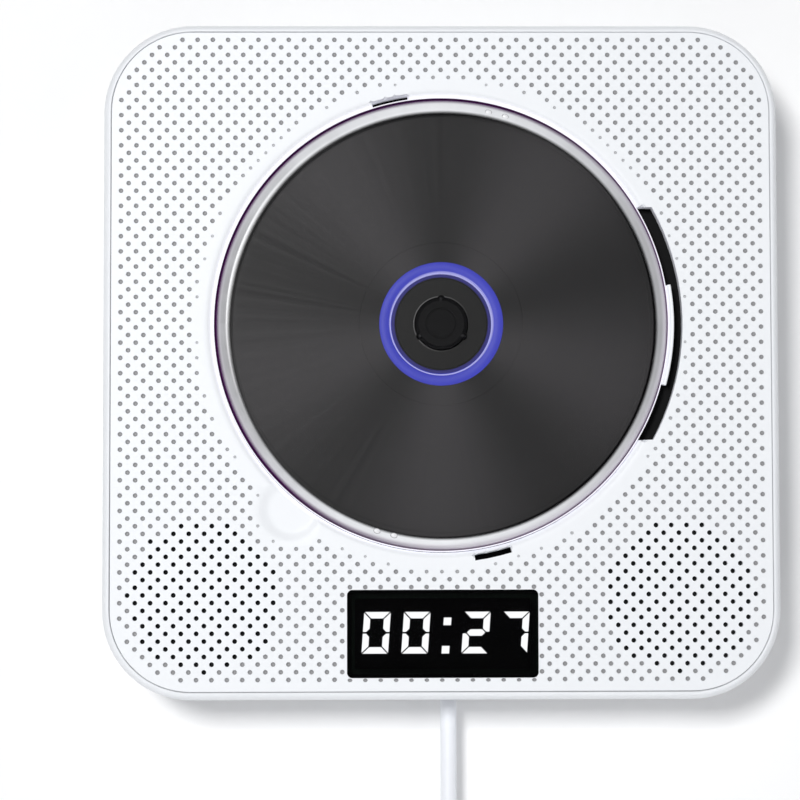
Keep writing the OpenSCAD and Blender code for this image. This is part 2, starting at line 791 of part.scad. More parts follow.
module cover_seal() color(violet) upright() at_disc() ring(seat_in_r - 0.2, seal_r, seat_out, foot_back);

module compact_disc() color(charcoal) upright() at_disc() difference() {
    rod(disc_r, disc_under, disc_top, $fn = 180);
    rod(disc_hole_r, disc_under - 1, disc_top + 1);
}

module disc_ring() color(ring_blue) upright() at_disc() ring(ring_in, ring_out, disc_top, disc_top + ring_t);

module turntable() color(black) upright() at_disc() difference() {
    union() {
        rod(table_r, disc_under - table_t, disc_under);
        rod(4, deck_front + 3.2, disc_under - table_t + eps);
    }
    rod(shaft_r + 0.02, deck_front, disc_under + 1);
    ring(table_r - 3.2, table_r - 2.8, disc_under - 0.3, disc_under + 1);
}

module hub_cap() color(black) upright() at_disc() difference() {
    rotate_extrude() polygon([
        [0, disc_under], [cap_r, disc_under], [cap_r, cap_top - 0.7], [cap_r - 0.9, cap_top], [0, cap_top]]);
    rod(shaft_r + 0.02, disc_under - 1, disc_top);
    for (a = [90, 210, 330]) rotate(a) translate([ball_at, 0, ball_out]) sphere(r = ball_r + run_gap);
    ring(cap_r - 3.4, cap_r - 3, cap_top - 0.25, cap_top + 1);
}

module clamp_balls() color(steel) upright() at_disc() for (a = [90, 210, 330])
    rotate(a) translate([ball_at, 0, ball_out]) sphere(r = ball_r);

module motor_shaft() color(steel) upright() at_disc() rod(shaft_r, motor_back + 0.8, disc_top - 0.2);

module spindle_motor() color(steel) upright() at_disc() difference() {
    union() {
        rotate_extrude() polygon([[0, motor_back], [motor_r - 1, motor_back], [motor_r, motor_back + 1],
            [motor_r, deck_back], [0, deck_back]]);
        rod(3, deck_back - eps, deck_front + 0.8);
        rod(3.4, motor_back - 0.8, motor_back + eps);
    }
    rod(shaft_r + run_gap, motor_back + 0.6, deck_front + 1);
}

module deck_plate() color(steel) upright() at_disc() {
    difference() {
        union() {
            block([-deck_left, -deck_down, deck_back], [deck_right, deck_up, deck_front]);
            for (v = [-1, 1], u = [-deck_left, -window_in])
                block([u, v * rod_off - 3, sled_back + 0.5],
                    [u + rod_block, v * rod_off + 3, deck_back + eps]);
        }
        block([-window_far, -window_half, deck_back - 1], [-window_in, window_half, deck_front + 1]);
        rod(3.1, deck_back - 1, deck_front + 1);
        for (p = damper_at) translate(p) rod(damper_neck + 0.05, deck_back - 1, deck_front + 1);
        for (v = [-1, 1]) translate([-deck_left - 1, v * rod_off, rod_out]) rotate([0, 90, 0])
            cylinder(h = deck_left - window_in + rod_block + 2, r = rod_r + 0.02);
        translate([gear_u, pinion_v, 0]) rod(2.1, deck_back - 1, deck_front + 1);
    }
    translate([gear_u, gear_v, 0]) rod(gear_pin_r, deck_front - eps, large_out + large_t + 0.2);
}

module deck_dampers() color(charcoal) upright() at_disc() for (p = damper_at) translate(p) difference() {
    union() {
        rod(damper_neck, deck_back - damper_lip, deck_front + damper_lip);
        rod(damper_r, deck_back - damper_lip, deck_back - 0.02);
        rod(damper_r, deck_front + 0.02, deck_front + damper_lip);
    }
    rod(damper_bore, deck_back - 3, deck_front + 3);
}

module deck_screws() color(steel) upright() at_disc() for (p = damper_at) translate(p)
    screw(screw_r, head_r + 0.8, head_t, deck_back - damper_lip, tray_back + 1);

module guide_rods() color(steel) upright() at_disc() for (v = [-1, 1])
    translate([-deck_left + 0.3, v * rod_off, rod_out]) rotate([0, 90, 0])
        cylinder(h = deck_left - window_in + rod_block - 0.6, r = rod_r);

module pickup_sled() color(black) upright() at_disc() difference() {
    sled_far = -sled_in - sled_len;
    union() {
        block([sled_far, -sled_half, sled_back], [-sled_in, sled_half, deck_front + 0.5]);
        block([sled_far, rack_back_v, deck_front + 0.4], [-sled_in, sled_half, sled_top]);
        for (v = [-1, 1]) block([sled_far, v * rod_off - 3, sled_back + 0.5],
            [-sled_in, v * rod_off + 3, deck_back]);
        block([-lens_start - tower_half, -tower_side, sled_top - eps],
            [-lens_start + tower_half, tower_side, tower_top]);
        for (s = [-1, 1]) block([-lens_start - tower_half, s * (tower_side + 1.8) - 0.9, sled_top - eps],
            [-lens_start - tower_half + 2, s * (tower_side + 1.8) + 0.9, tower_top + 1.6]);
    }
    translate([sled_far - 1, rod_off, rod_out]) rotate([0, 90, 0])
        cylinder(h = sled_len + 2, r = rod_r + run_gap);
    block([sled_far - 1, -rod_off - 4, rod_out - rod_r - run_gap],
        [-sled_in + 1, -rod_off + rod_r + run_gap, rod_out + rod_r + run_gap]);
    rod_side_cut(sled_far);
}

// Thins the sled's underside beside the disc motor
module rod_side_cut(from) {
    block([from + 4, -sled_half + 4, sled_back - 1], [-sled_in - 4, sled_half - 4, sled_back + 2]);
}

module sled_rack() color(white) upright() at_disc() out(gear_out) linear_extrude(small_t) {
    root = tooth_root * tooth_pitch;
    tip = tooth_tip * tooth_pitch;
    foot = tooth_depth * tooth_m;
    block_2d([rack_from, rack_v + foot], [rack_to, rack_back_v]);
    for (i = [-2:round(sled_travel / tooth_pitch) + 2]) translate([gear_u + i * tooth_pitch, rack_v])
        polygon([[-root, foot + 0.1 * tooth_m], [-root, foot], [-tip, -tooth_height * tooth_m],
            [tip, -tooth_height * tooth_m], [root, foot], [root, foot + 0.1 * tooth_m]]);
}

module drive_gear() color(white) upright() at_disc() translate([gear_u, gear_v, 0]) difference() {
    union() {
        out(gear_out) linear_extrude(small_t + 0.2 + eps) polygon(gear_outline(small_n, 90 + 180 / small_n));
        out(large_out) linear_extrude(large_t) polygon(gear_outline(large_n, 270));
    }
    rod(gear_pin_r + run_gap, gear_out - 1, large_out + large_t + 1);
}

module motor_pinion() color(white) upright() at_disc() translate([gear_u, pinion_v, 0]) {
    out(large_out) linear_extrude(large_t) polygon(gear_outline(pinion_n, 90 + 180 / pinion_n));
    rod(pinion_shaft_r, deck_back - sled_motor_l + 1, large_out + eps);
}

module sled_motor() color(steel) upright() at_disc() translate([gear_u, pinion_v, 0]) difference() {
    union() {
        rod(sled_motor_r, deck_back - sled_motor_l, deck_back);
        rod(2, deck_back - eps, deck_front + 0.4);
    }
    rod(pinion_shaft_r + run_gap, deck_back - sled_motor_l + 0.8, deck_front + 1);
}

module lens_holder() color(black) upright() at_disc() difference() {
    block([-lens_start - tower_half, -tower_side + 0.8, tower_top + holder_gap],
        [-lens_start + tower_half, tower_side - 0.8, holder_top]);
    translate([-lens_start, 0, 0]) rod(lens_r, lens_low, holder_top + 1);
}

module pickup_lens() color([0.55, 0.65, 0.90, 0.5]) upright() at_disc() translate([-lens_start, 0, 0])
    rotate_extrude() {
        polygon(concat([[0, lens_low], [lens_r, lens_low]], [for (i = [0:8]) let (a = 90 * i / 8)
            [lens_r * cos(a), holder_top + lens_crown * sin(a)]]));
    }

module display_window() color(black) upright() translate([window_x, display_up, 0]) difference() {
    union() {
        out(window_back) linear_extrude(face_out - 0.1 - window_back)
            soft_square(window_w - 2 * window_gap, window_h - 2 * window_gap, window_r - window_gap);
        out(window_back) linear_extrude(window_lip_t)
            soft_square(window_w + 2 * window_lip, window_h + 2 * window_lip, window_r + window_lip);
    }
    out(window_back - 1) linear_extrude(face_out - 0.1 - window_front_t - window_back + 1)
        soft_square(module_w + 0.6, module_h + 0.6, 0.8);
}

module display_module() color(black) upright() translate([window_x, display_up, 0])
    out(module_front - module_t) linear_extrude(module_t) soft_square(module_w, module_h, 0.6);

// The seven bars of a digit, cut square to each other at the corners; the foot of the digit is at 0
function bar_points(k) =
    let (w = digit_w, h = digit_h, m = digit_h / 2, t = bar_t, q = digit_gap, s = t / 2)
    k == "a" ? [[q, h], [w - q, h], [w - q - t, h - t], [q + t, h - t]] :
    k == "b" ? [[w, h - q], [w, m + q], [w - s, m + q], [w - t, m + s + q], [w - t, h - t - q]] :
    k == "c" ? [[w, m - q], [w, q], [w - t, t + q], [w - t, m - s - q], [w - s, m - q]] :
    k == "d" ? [[q + t, t], [w - q - t, t], [w - q, 0], [q, 0]] :
    k == "e" ? [[0, m - q], [s, m - q], [t, m - s - q], [t, t + q], [0, q]] :
    k == "f" ? [[0, h - q], [t, h - t - q], [t, m + s + q], [s, m + q], [0, m + q]] :
    [[s + q, m], [t + q, m + s], [w - t - q, m + s], [w - s - q, m], [w - t - q, m - s], [t + q, m - s]];
digit_bars = [["0", "abcdef"], ["0", "abcdef"], ["2", "abged"], ["7", "abc"]];

module slanted(points) { polygon([for (p = points) [p.x + (p.y - digit_h / 2) * tan(slant), p.y]]); }

module display_digits() color("white") upright()
    translate([window_x, display_up + digit_shift - digit_h / 2, module_front]) linear_extrude(digit_t) {
        for (i = [0:3], k = digit_bars[i][1])
            translate([digit_at[i] - digit_w / 2, 0]) slanted(bar_points(k));
        for (y = colon_heights) translate([colon_x - colon_size / 2, 0]) slanted([
            [0, y * digit_h - colon_size / 2], [colon_size, y * digit_h - colon_size / 2],
            [colon_size, y * digit_h + colon_size / 2], [0, y * digit_h + colon_size / 2]]);
    }

module display_board() color(green) upright() translate([window_x, display_up, display_board_back])
    difference() {
        block([-display_post.x - 3.4, -module_h / 2 - 1.5, 0],
            [display_post.x + 3.4, module_h / 2 + 1.5, board_t]);
        for (x = [-1, 1]) translate([x * display_post.x, display_post.y, 0])
            rod(pilot_r + 0.1, -1, board_t + 1);
    }

module remote_receiver() color(black) upright()
    translate([window_x - display_post.x, display_up + receiver_up, display_board_back + board_t]) {
        block([-2.6, -2.6, 0], [2.6, 2.6, 2.4]);
        out(2.3) cylinder(h = plate_back - 0.4 - display_board_back - board_t - 2.3, r = 2.2);
    }

module main_board() color(green) upright() difference() {
    block([main_left, main_low, main_back], [main_right, main_high, main_front]);
    for (p = main_posts) translate(p) rod(pilot_r + 0.1, main_back - 1, main_front + 1);
}

// Chips, coils and capacitors, as [x, y, width, height, depth]; a width alone is a round can
module board_parts() color(black) upright() {
    chips = [[-28, -47, 12, 12, 1.6], [-4, -46, 9, 7, 1.4], [16, -50, 14, 9, 1.6], [30, -41, 6, 5, 1.2]];
    cans = [[-40, -47, 2.5, 4], [-16, -39, 2, 4], [-16, -54, 2, 4], [60, -45, 3.2, 5], [70, -37, 2.5, 5]];
    for (c = chips) translate([c[0], c[1], main_front])
        block([-c[2] / 2, -c[3] / 2, 0], [c[2] / 2, c[3] / 2, c[4]]);
    for (c = cans) translate([c[0], c[1], 0]) rod(c[2], main_front, main_front + c[3]);
}

// Moves to a socket's middle, at the inner face of the right wall
module at_socket(k) { translate([main_right, socket_y[k], socket_out]) children(); }

module power_socket() color(black) upright() at_socket(0) difference() {
    union() {
        block([-socket_l, -4.2, main_front - socket_out], [0.7, 4.2, 3.6]);
        rotate([0, 90, 0]) cylinder(h = body_w / 2 - main_right - 0.3, r = 3.6);
    }
    translate([-socket_l + 3, 0, 0]) rotate([0, 90, 0]) difference() {
        cylinder(h = socket_l + 5, r = power_r);
        cylinder(h = socket_l - 1, r = 0.8);
    }
}

module usb_socket() color(steel) upright() at_socket(1) difference() {
    block([-socket_l, -usb_w / 2, main_front - socket_out], [body_w / 2 - main_right - 0.3, usb_w / 2, 3]);
    block([-socket_l + 1.5, -usb_w / 2 + 0.5, main_front - socket_out + 0.5], [9, usb_w / 2 - 0.5, 0.1]);
    block([-socket_l + 1.5, -usb_w / 2 + 0.5, 0], [9, usb_w / 2 - 0.5, 0.6]);
    block([-1, -usb_w / 2 + 0.5, -1], [9, usb_w / 2 - 0.5, 2.5]);
    block([-socket_l + 1.5, -usb_w / 2 + 0.5, 2.2], [9, usb_w / 2 - 0.5, 2.5]);
}

module audio_socket() color(black) upright() at_socket(2) difference() {
    union() {
        block([-socket_l, -3.4, main_front - socket_out], [0.7, 3.4, 3]);
        rotate([0, 90, 0]) cylinder(h = body_w / 2 - main_right - 0.3, r = 3);
    }
    translate([-socket_l + 2, 0, 0]) rotate([0, 90, 0]) cylinder(h = socket_l + 5, r = audio_r);
}

module speaker_frame(side) color(charcoal) upright() translate([side * speaker_x, speaker_y, 0])
    rotate_extrude($fn = 96) polygon([
        [roll_out + 0.1, flange_front], [speaker_r, flange_front],
        [speaker_r, flange_back], [speaker_r - 1.2, flange_back], [magnet_r + 1, magnet_front],
        [magnet_r + 1, magnet_front - 1], [coil_r + coil_gap, magnet_front - 1],
        [coil_r + coil_gap, magnet_front], [magnet_r - 0.4, magnet_front], [roll_out - 0.4, roll_base - 0.6],
        [roll_out + 0.1, roll_base - 0.6]]);
module left_speaker_frame() { speaker_frame(-1); }
module right_speaker_frame() { speaker_frame(1); }

module speaker_magnets() color(steel) upright() for (side = [-1, 1])
    translate([side * speaker_x, speaker_y, 0]) difference() {
        rod(magnet_r, magnet_front - 1 - magnet_t - plate_t, magnet_front - 1);
        ring(coil_r - coil_gap, coil_r + coil_gap, magnet_front - magnet_t, magnet_front + 1);
    }

// The rolled edge that carries a cone: half a torus between the cone and the frame
module speaker_surrounds() color(black) upright() for (side = [-1, 1])
    translate([side * speaker_x, speaker_y, 0]) rotate_extrude($fn = 96) {
        mid = (roll_in + roll_out) / 2;
        half = (roll_out - roll_in) / 2;
        translate([mid, roll_base]) intersection() {
            difference() {
                circle(r = half);
                circle(r = half - 0.5);
            }
            translate([-half, -eps]) square([2 * half, 2 * half]);
        }
        translate([roll_out - 0.5, roll_base - 0.5]) square([0.5, 0.7]);
    }

module speaker_cone(side) color(charcoal) upright() translate([side * speaker_x, speaker_y, 0])
    rotate_extrude($fn = 96) polygon(concat([
        [cone_r, roll_base], [cone_r, roll_base + 0.5], [cone_r - 0.6, roll_base + 0.5],
        [coil_r + 0.9, roll_base - 5]],
        [for (i = [0:8]) let (a = 90 * i / 8) [(coil_r + 0.9) * cos(a), roll_base - 5 + 2.6 * sin(a)]],
        [[0, roll_base - 2.8]],
        [for (i = [8:-1:0]) let (a = 90 * i / 8) [(coil_r - 0.2) * cos(a), roll_base - 5.4 + 2.2 * sin(a)]],
        [[coil_r - 0.2, coil_back], [coil_r + 0.2, coil_back],
         [coil_r + 0.2, roll_base - 5.7], [coil_r + 0.9, roll_base - 5.7]]));
module left_cone() { speaker_cone(-1); }
module right_cone() { speaker_cone(1); }

module grille_cloths() color(black) upright() for (side = [-1, 1])
    translate([side * speaker_x, speaker_y, 0]) rod(roll_out + 1.6, flange_front, plate_back);

module switch_body() color(black) upright() translate([cord_x, 0, cord_out]) difference() {
    half = switch_w / 2;
    union() {
        block([-half, switch_low, -half + 1], [half, switch_low + switch_h, half - 1]);
        block([-half - 1.2, switch_low, -3], [half + 1.2, switch_low + 2, 3]);
    }
    up_rod(chamber_r, chamber_low, switch_low + switch_h - switch_wall);
    up_rod(cord_bore, switch_low - 1, chamber_low + 1);
}

// A rod along the case's height
module up_rod(r, from, to) {
    translate([0, from, 0]) rotate([-90, 0, 0]) cylinder(h = to - from, r = r);
}

module switch_slider() color(white) upright() translate([cord_x, 0, cord_out]) {
    up_rod(chamber_r - run_gap, slider_top - slider_t, slider_top);
    up_rod(cord_d / 2 + 0.2, rod_end, slider_top - slider_t + eps);
}

// The return spring between the slider and the floor of the chamber
module switch_spring() color(steel) upright() {
    low = chamber_low + spring_wire + 0.02;
    high = slider_top - slider_t - spring_wire - 0.02;
    coil = chamber_r - spring_wire - 0.6;
    steps = 14 * spring_turns;
    tube_along([for (i = [0:steps]) let (a = 360 * spring_turns * i / steps)
        [cord_x + coil * cos(a), low + (high - low) * i / steps, cord_out + coil * sin(a)]], spring_wire, 6);
    clear = (high - low) / spring_turns - 2 * spring_wire;
    echo("least gap between the spring's turns", clear);
}

module cord_gland() color(white) upright() translate([cord_x, 0, cord_out]) difference() {
    union() {
        up_rod(gland_r, -body_h / 2, bottom_in);
        up_rod(gland_r + 1.2, -body_h / 2 - gland_rim, -body_h / 2);
        up_rod(gland_r + 1.2, bottom_in, switch_low);
    }
    up_rod(cord_bore, -body_h / 2 - 2, switch_low + 1);
}

module pull_cord() color(white) upright() tube_along(cord_route, cord_d / 2, 12);

// The knob is turned: a neck for the cord, a swelling body and a rounded foot
module pull_knob() color(white) upright() translate([cord_x, cord_end, cord_out]) rotate([90, 0, 0])
    rotate_extrude() {
        neck = cord_d / 2 + 0.9;
        foot = knob_l - knob_grip - 1;
        swell = foot - knob_round + knob_grip;
        polygon(concat([[cord_d / 2 + 0.1, -knob_grip], [neck, -knob_grip]],
            [for (i = [1:8]) let (s = i / 8) [neck + (knob_r - neck) * (1 - cos(180 * s)) / 2,
                -knob_grip + swell * s]],
            [for (i = [1:8]) let (a = 90 * i / 8)
                [knob_r - knob_round + knob_round * cos(a), foot - knob_round + knob_round * sin(a)]],
            [[0, foot], [0, 0.1], [cord_d / 2 + 0.1, 0.1]]));
    }

wall_bracket();
front_shell();
front_plate();
rear_shell();
rubber_feet();
case_screws();
small_screws();
disc_tray();
dust_cover();
cover_seal();
compact_disc();
disc_ring();
turntable();
hub_cap();
clamp_balls();
motor_shaft();
spindle_motor();
deck_plate();
deck_dampers();
deck_screws();
guide_rods();
pickup_sled();
sled_rack();
lens_holder();
pickup_lens();
sled_motor();
motor_pinion();
drive_gear();
display_window();
display_module();
display_digits();
display_board();
remote_receiver();
main_board();
board_parts();
power_socket();
usb_socket();
audio_socket();
left_speaker_frame();
right_speaker_frame();
speaker_magnets();
speaker_surrounds();
left_cone();
right_cone();
grille_cloths();
button_board();
key_switches();
mode_button();
previous_button();
play_button();
next_button();
softer_button();
louder_button();
switch_body();
switch_slider();
switch_spring();
cord_gland();
pull_cord();
pull_knob();
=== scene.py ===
import json
import math

import bmesh
import bpy
import numpy as np
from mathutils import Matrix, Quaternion, Vector
from mathutils.geometry import delaunay_2d_cdt

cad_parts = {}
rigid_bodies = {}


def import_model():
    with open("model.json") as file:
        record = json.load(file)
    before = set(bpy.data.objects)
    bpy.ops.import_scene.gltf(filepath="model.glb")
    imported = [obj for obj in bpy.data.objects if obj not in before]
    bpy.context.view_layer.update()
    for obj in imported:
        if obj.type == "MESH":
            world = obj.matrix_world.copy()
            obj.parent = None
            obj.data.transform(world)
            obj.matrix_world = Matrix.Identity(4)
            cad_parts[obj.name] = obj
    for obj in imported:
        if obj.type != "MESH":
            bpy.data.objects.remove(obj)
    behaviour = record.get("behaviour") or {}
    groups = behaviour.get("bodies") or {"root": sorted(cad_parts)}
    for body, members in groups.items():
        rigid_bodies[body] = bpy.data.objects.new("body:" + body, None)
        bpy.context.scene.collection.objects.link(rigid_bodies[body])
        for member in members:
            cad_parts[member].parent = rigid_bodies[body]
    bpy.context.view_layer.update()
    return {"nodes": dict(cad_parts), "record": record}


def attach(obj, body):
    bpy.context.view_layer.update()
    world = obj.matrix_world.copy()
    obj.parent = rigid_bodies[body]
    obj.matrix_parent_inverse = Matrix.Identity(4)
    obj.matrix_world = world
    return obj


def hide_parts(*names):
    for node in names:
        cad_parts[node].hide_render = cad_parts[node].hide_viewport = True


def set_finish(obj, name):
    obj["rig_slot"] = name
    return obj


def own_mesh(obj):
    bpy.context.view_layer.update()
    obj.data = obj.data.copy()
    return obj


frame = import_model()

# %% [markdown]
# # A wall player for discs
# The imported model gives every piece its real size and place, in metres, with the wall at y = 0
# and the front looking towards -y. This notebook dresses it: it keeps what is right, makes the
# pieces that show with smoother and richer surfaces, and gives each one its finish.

MM = 0.001
NODES = frame["nodes"]
BODY = {n: body for body, names in frame["record"]["behaviour"]["bodies"].items() for n in names}
SLOT = {row["node"]: row["material_slot"] for row in frame["record"]["subparts"]}
FACE_OUT = 41.0
DISC_UP = 10.2

# %% [markdown]
# ## The camera
# The photograph looks almost straight at the player, from 4 degrees below and 1 degree left. The
# rows of dots are 1.4% longer at the bottom than at the top, which goes with a camera 0.9 m away.
# A small lens shift puts the player right of and above the middle of the picture, as it is in the
# photograph, and a roll of 0.155 degrees levels it.

# %% Camera
PIXELS = 800
SCALE = 3567.0
DISTANCE = 0.9
LOOK_LEFT, LOOK_UP, ROLL = math.radians(1.0), math.radians(4.0), math.radians(0.155)
FACE_MIDDLE = Vector((0, -FACE_OUT * MM, 0))
FACE_AT = (441.4, 359.6)

camera_data = bpy.data.cameras.new("camera")
camera_data.sensor_width = 36.0
camera_data.lens = SCALE * DISTANCE * camera_data.sensor_width / PIXELS
camera_data.shift_x = -(FACE_AT[0] - PIXELS / 2) / PIXELS
camera_data.shift_y = -(PIXELS / 2 - FACE_AT[1]) / PIXELS
camera = bpy.data.objects.new("camera", camera_data)
bpy.context.scene.collection.objects.link(camera)
towards = Vector((math.sin(LOOK_LEFT) * math.cos(LOOK_UP),
                  math.cos(LOOK_LEFT) * math.cos(LOOK_UP), math.sin(LOOK_UP)))
camera.location = FACE_MIDDLE - DISTANCE * towards
turned = towards.to_track_quat("-Z", "Y") @ Quaternion((0, 0, 1), -ROLL)
camera.rotation_euler = turned.to_euler()
bpy.context.scene.camera = camera
print("lens", round(camera_data.lens, 1), "mm at", [round(v, 3) for v in camera.location])

# %% [markdown]
# ## The pull cord
# A smooth white plastic cord runs from the switch inside the case down through its gland and
# ends in a knob. It hangs straight under its own weight. A curve with a round bevel is the right
# tool, because its own line is the cord's length. The points are those of the solid model.

# %% Cord
CORD_X, CORD_OUT, CORD_D = 2.2, 12.0, 4.6
CORD_HEIGHTS = [-79.1, *range(-92, -213, -12), -223, -234, -245]
cord_points = [(CORD_X * MM, -CORD_OUT * MM, h * MM) for h in CORD_HEIGHTS]


def bevelled_curve(name, points, diameter):
    """A round tube: the path goes straight from point to point, with a circle carried along. The
    points' own radius holds the tube's radius, so that the curve's box is the tube's box."""
    data = bpy.data.curves.new(name, "CURVE")
    data.dimensions = "3D"
    spline = data.splines.new("POLY")
    spline.points.add(len(points) - 1)
    spline.points.foreach_set("co", np.array([(*p, 1) for p in points], float).ravel())
    spline.points.foreach_set("radius", np.full(len(points), diameter / 2))
    data.bevel_depth = 1.0
    data.bevel_resolution = 7
    data.use_fill_caps = True
    piece = bpy.data.objects.new(name, data)
    bpy.context.scene.collection.objects.link(piece)
    return piece


cord = bevelled_curve("cord", cord_points, CORD_D * MM)
cord_length = (CORD_HEIGHTS[0] - CORD_HEIGHTS[-1]) * MM
print("cord", round(cord_length, 4), "m")

# %% [markdown]
# ## Meshes from arrays
# Every new piece is worked out as whole arrays. `closed_mesh` puts points and faces into Blender,
# `lathe` turns a profile round an axis that points out of the wall, and `smooth_copy` takes the
# solid model's own piece, joins its loose triangles and shades it smooth where it is round.

# %% Mesh helpers
def show_mesh(name, data, sharp=40):
    """Links a mesh as an object, and keeps as sharp only the edges steeper than an angle."""
    data.polygons.foreach_set("use_smooth", np.ones(len(data.polygons), bool))
    data.set_sharp_from_angle(angle=math.radians(sharp))
    piece = bpy.data.objects.new(name, data)
    bpy.context.scene.collection.objects.link(piece)
    return piece


def joined(data, merge=2e-6, outwards=True):
    """Joins points that lie together and, if asked, turns every face outwards."""
    b = bmesh.new()
    b.from_mesh(data)
    bmesh.ops.remove_doubles(b, verts=b.verts, dist=merge)
    if outwards:
        bmesh.ops.recalc_face_normals(b, faces=b.faces)
    b.to_mesh(data)
    b.free()
    return data


def closed_mesh(name, points, faces, sharp=40, merge=2e-6):
    """Builds a closed object from an array of points in mm and a list of faces."""
    data = bpy.data.meshes.new(name)
    data.from_pydata((points.reshape(-1, 3) * MM).tolist(), [], faces)
    return show_mesh(name, joined(data, merge), sharp)


def ring_quads(rings, steps):
    """The faces between rings of points, each from two neighbours to those on the next ring."""
    row = np.arange(rings - 1)[:, None] * steps
    k = np.arange(steps)[None, :]
    after = (k + 1) % steps
    quads = np.stack([row + k, row + after, row + steps + after, row + steps + k], -1)
    return quads.reshape(-1, 4).tolist()


def lathe(name, profile, centre=(0.0, DISC_UP), steps=192, sharp=40):
    """Turns (radius, distance out), in mm, round an axis out of the wall: the point at angle a
    is (centre x + r cos a, -out, centre z + r sin a). Points at radius 0 close to one pole."""
    profile = np.asarray(profile, float)
    turn = np.linspace(0, 2 * np.pi, steps, endpoint=False)
    r, out = profile[:, 0][:, None], profile[:, 1][:, None]
    points = np.stack([centre[0] + r * np.cos(turn), -out + 0 * turn,
                       centre[1] + r * np.sin(turn)], -1)
    return closed_mesh(name, points, ring_quads(len(profile), steps), sharp)


def merged_mesh(node):
    """A copy of a CAD piece's mesh, with its loose triangles joined."""
    return joined(NODES[node].data.copy(), 1e-6, outwards=False)


def dress(piece, *nodes):
    """Lets a new piece ride and be finished like the CAD pieces that it stands for."""
    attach(piece, BODY[nodes[0]])
    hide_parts(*nodes)
    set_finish(piece, SLOT[nodes[0]])
    return piece


def smooth_copy(node, name, sharp=40, bevel=0.0):
    """The CAD piece with smooth shading and, if asked, a small rounding on its hard edges. Where
    there is no rounding, large faces weigh most in the shading, so that flats look flat."""
    piece = show_mesh(name, merged_mesh(node), sharp)
    if bevel:
        rounding = piece.modifiers.new("soft edges", "BEVEL")
        rounding.width = bevel * MM
        rounding.segments = 2
        rounding.limit_method = "ANGLE"
        rounding.angle_limit = math.radians(50)
        rounding.harden_normals = True
    else:
        flats = piece.modifiers.new("flats stay flat", "WEIGHTED_NORMAL")
        flats.keep_sharp = True
        flats.weight = 100
    return dress(piece, node)


# %% [markdown]
# ## The perforated front plate
# The plate is a thin moulding with about two thousand small blind dimples in staggered rows, and
# open holes over the speakers. The solid model has the plate with its open holes, its lip around
# the disc, its finger notch and its screw posts, but a flat front. So the front skin is taken off
# and made anew. Seen from the front it is a flat sheet with many round openings, which a
# constrained triangulation fills exactly: the old rim stays as it is, and each dimple is a ring.

# %% Where the dimples are
DOT_STEP, DOT_R, DOT_SIDES, TOP_ROW = 2.14, 0.70, 12, 90.5
GRID_MIDDLE, GRID_HALF, GRID_CORNER, GRID_INSET = (0, 0.62), (94.4, 94.4), 25, 4.0
RIM_HALF, RIM_CORNER = (92.55, 92.55), 22.55
WELL_R, THROAT_R, LIP_D = 66.5, 64.2, 3.0
NOTCH_R, NOTCH_HALF = 67.8, 32.8
SPEAKER_AT, GRILLE_R = (66.4, -66.0), 21.4
WINDOW_AT, WINDOW_HALF, WINDOW_CORNER = (0.2, -76.6), (26.7, 12.25), 1.5
SCOOP_ANGLE, SCOOP_AT, SCOOP_R, SCOOP_D, SCOOP_WALL = math.radians(231), 67.0, 9.2, 0.7, 3.2
OLD_SCOOP_R, OLD_SCOOP_D = 8.4, 1.1
SCOOP = (SCOOP_AT * math.cos(SCOOP_ANGLE), DISC_UP + SCOOP_AT * math.sin(SCOOP_ANGLE))
SLOTS = [(102.8, 63.4, 65.3), (-77.5, 65.6, 67.1)]
SLOT_HALF = 4.5
SMOOTH_RING, SCOOP_CLEAR, SMALLEST, FADE_OVER = 68.6, 0.6, 0.6, 4.5


def rounded_box(x, z, centre, half, corner):
    """Distance from a rounded rectangle's outline, below zero inside: the distance from the
    smaller box that the corner circles roll on, less the corner's radius."""
    qx = np.abs(x - centre[0]) - (half[0] - corner)
    qz = np.abs(z - centre[1]) - (half[1] - corner)
    beyond = np.hypot(np.maximum(qx, 0), np.maximum(qz, 0))
    return beyond + np.minimum(np.maximum(qx, qz), 0) - corner


def dot_centres():
    """The staggered grid: columns and rows DOT_STEP apart, kept where their numbers add up to
    an even one, then left out near the rim, the disc, the window, the scoop and the grilles.
    Their radius grows from SMALLEST to 1 times DOT_R over FADE_OVER mm from disc and scoop."""
    i, j = np.meshgrid(np.arange(-44, 45), np.arange(0, 90), indexing="ij")
    keep = (i + j) % 2 == 0
    x, z = i[keep] * DOT_STEP, TOP_ROW - j[keep] * DOT_STEP
    r = np.hypot(x, z - DISC_UP)
    keep = rounded_box(x, z, GRID_MIDDLE, GRID_HALF, GRID_CORNER) < -GRID_INSET
    beside = rounded_box(x, z, WINDOW_AT, WINDOW_HALF, WINDOW_CORNER)
    keep &= (beside > 0.72) | ((beside > 0.3) & (z < WINDOW_AT[1]))
    from_scoop = np.hypot(x - SCOOP[0], z - SCOOP[1])
    keep &= (r > SMOOTH_RING) & (from_scoop > SCOOP_R + SCOOP_CLEAR)
    keep &= np.hypot(np.abs(x) - SPEAKER_AT[0], z - SPEAKER_AT[1]) > GRILLE_R
    away = np.minimum(r - SMOOTH_RING, from_scoop - SCOOP_R - SCOOP_CLEAR)
    size = DOT_R * np.clip(SMALLEST + away / FADE_OVER, SMALLEST, 1)
    return x[keep], z[keep], size[keep]


dot_x, dot_z, dot_size = dot_centres()
print(len(dot_x), "blind dimples")

# %% [markdown]
# The skin's height is one formula. Around the disc it rolls over into the well like a quarter of a
# squarish ellipse, level at the rim and steep at the throat, so that the lip stays as bright as
# the face almost to its edge. At the lower left a shallow dish makes room for a finger under the
# cover.

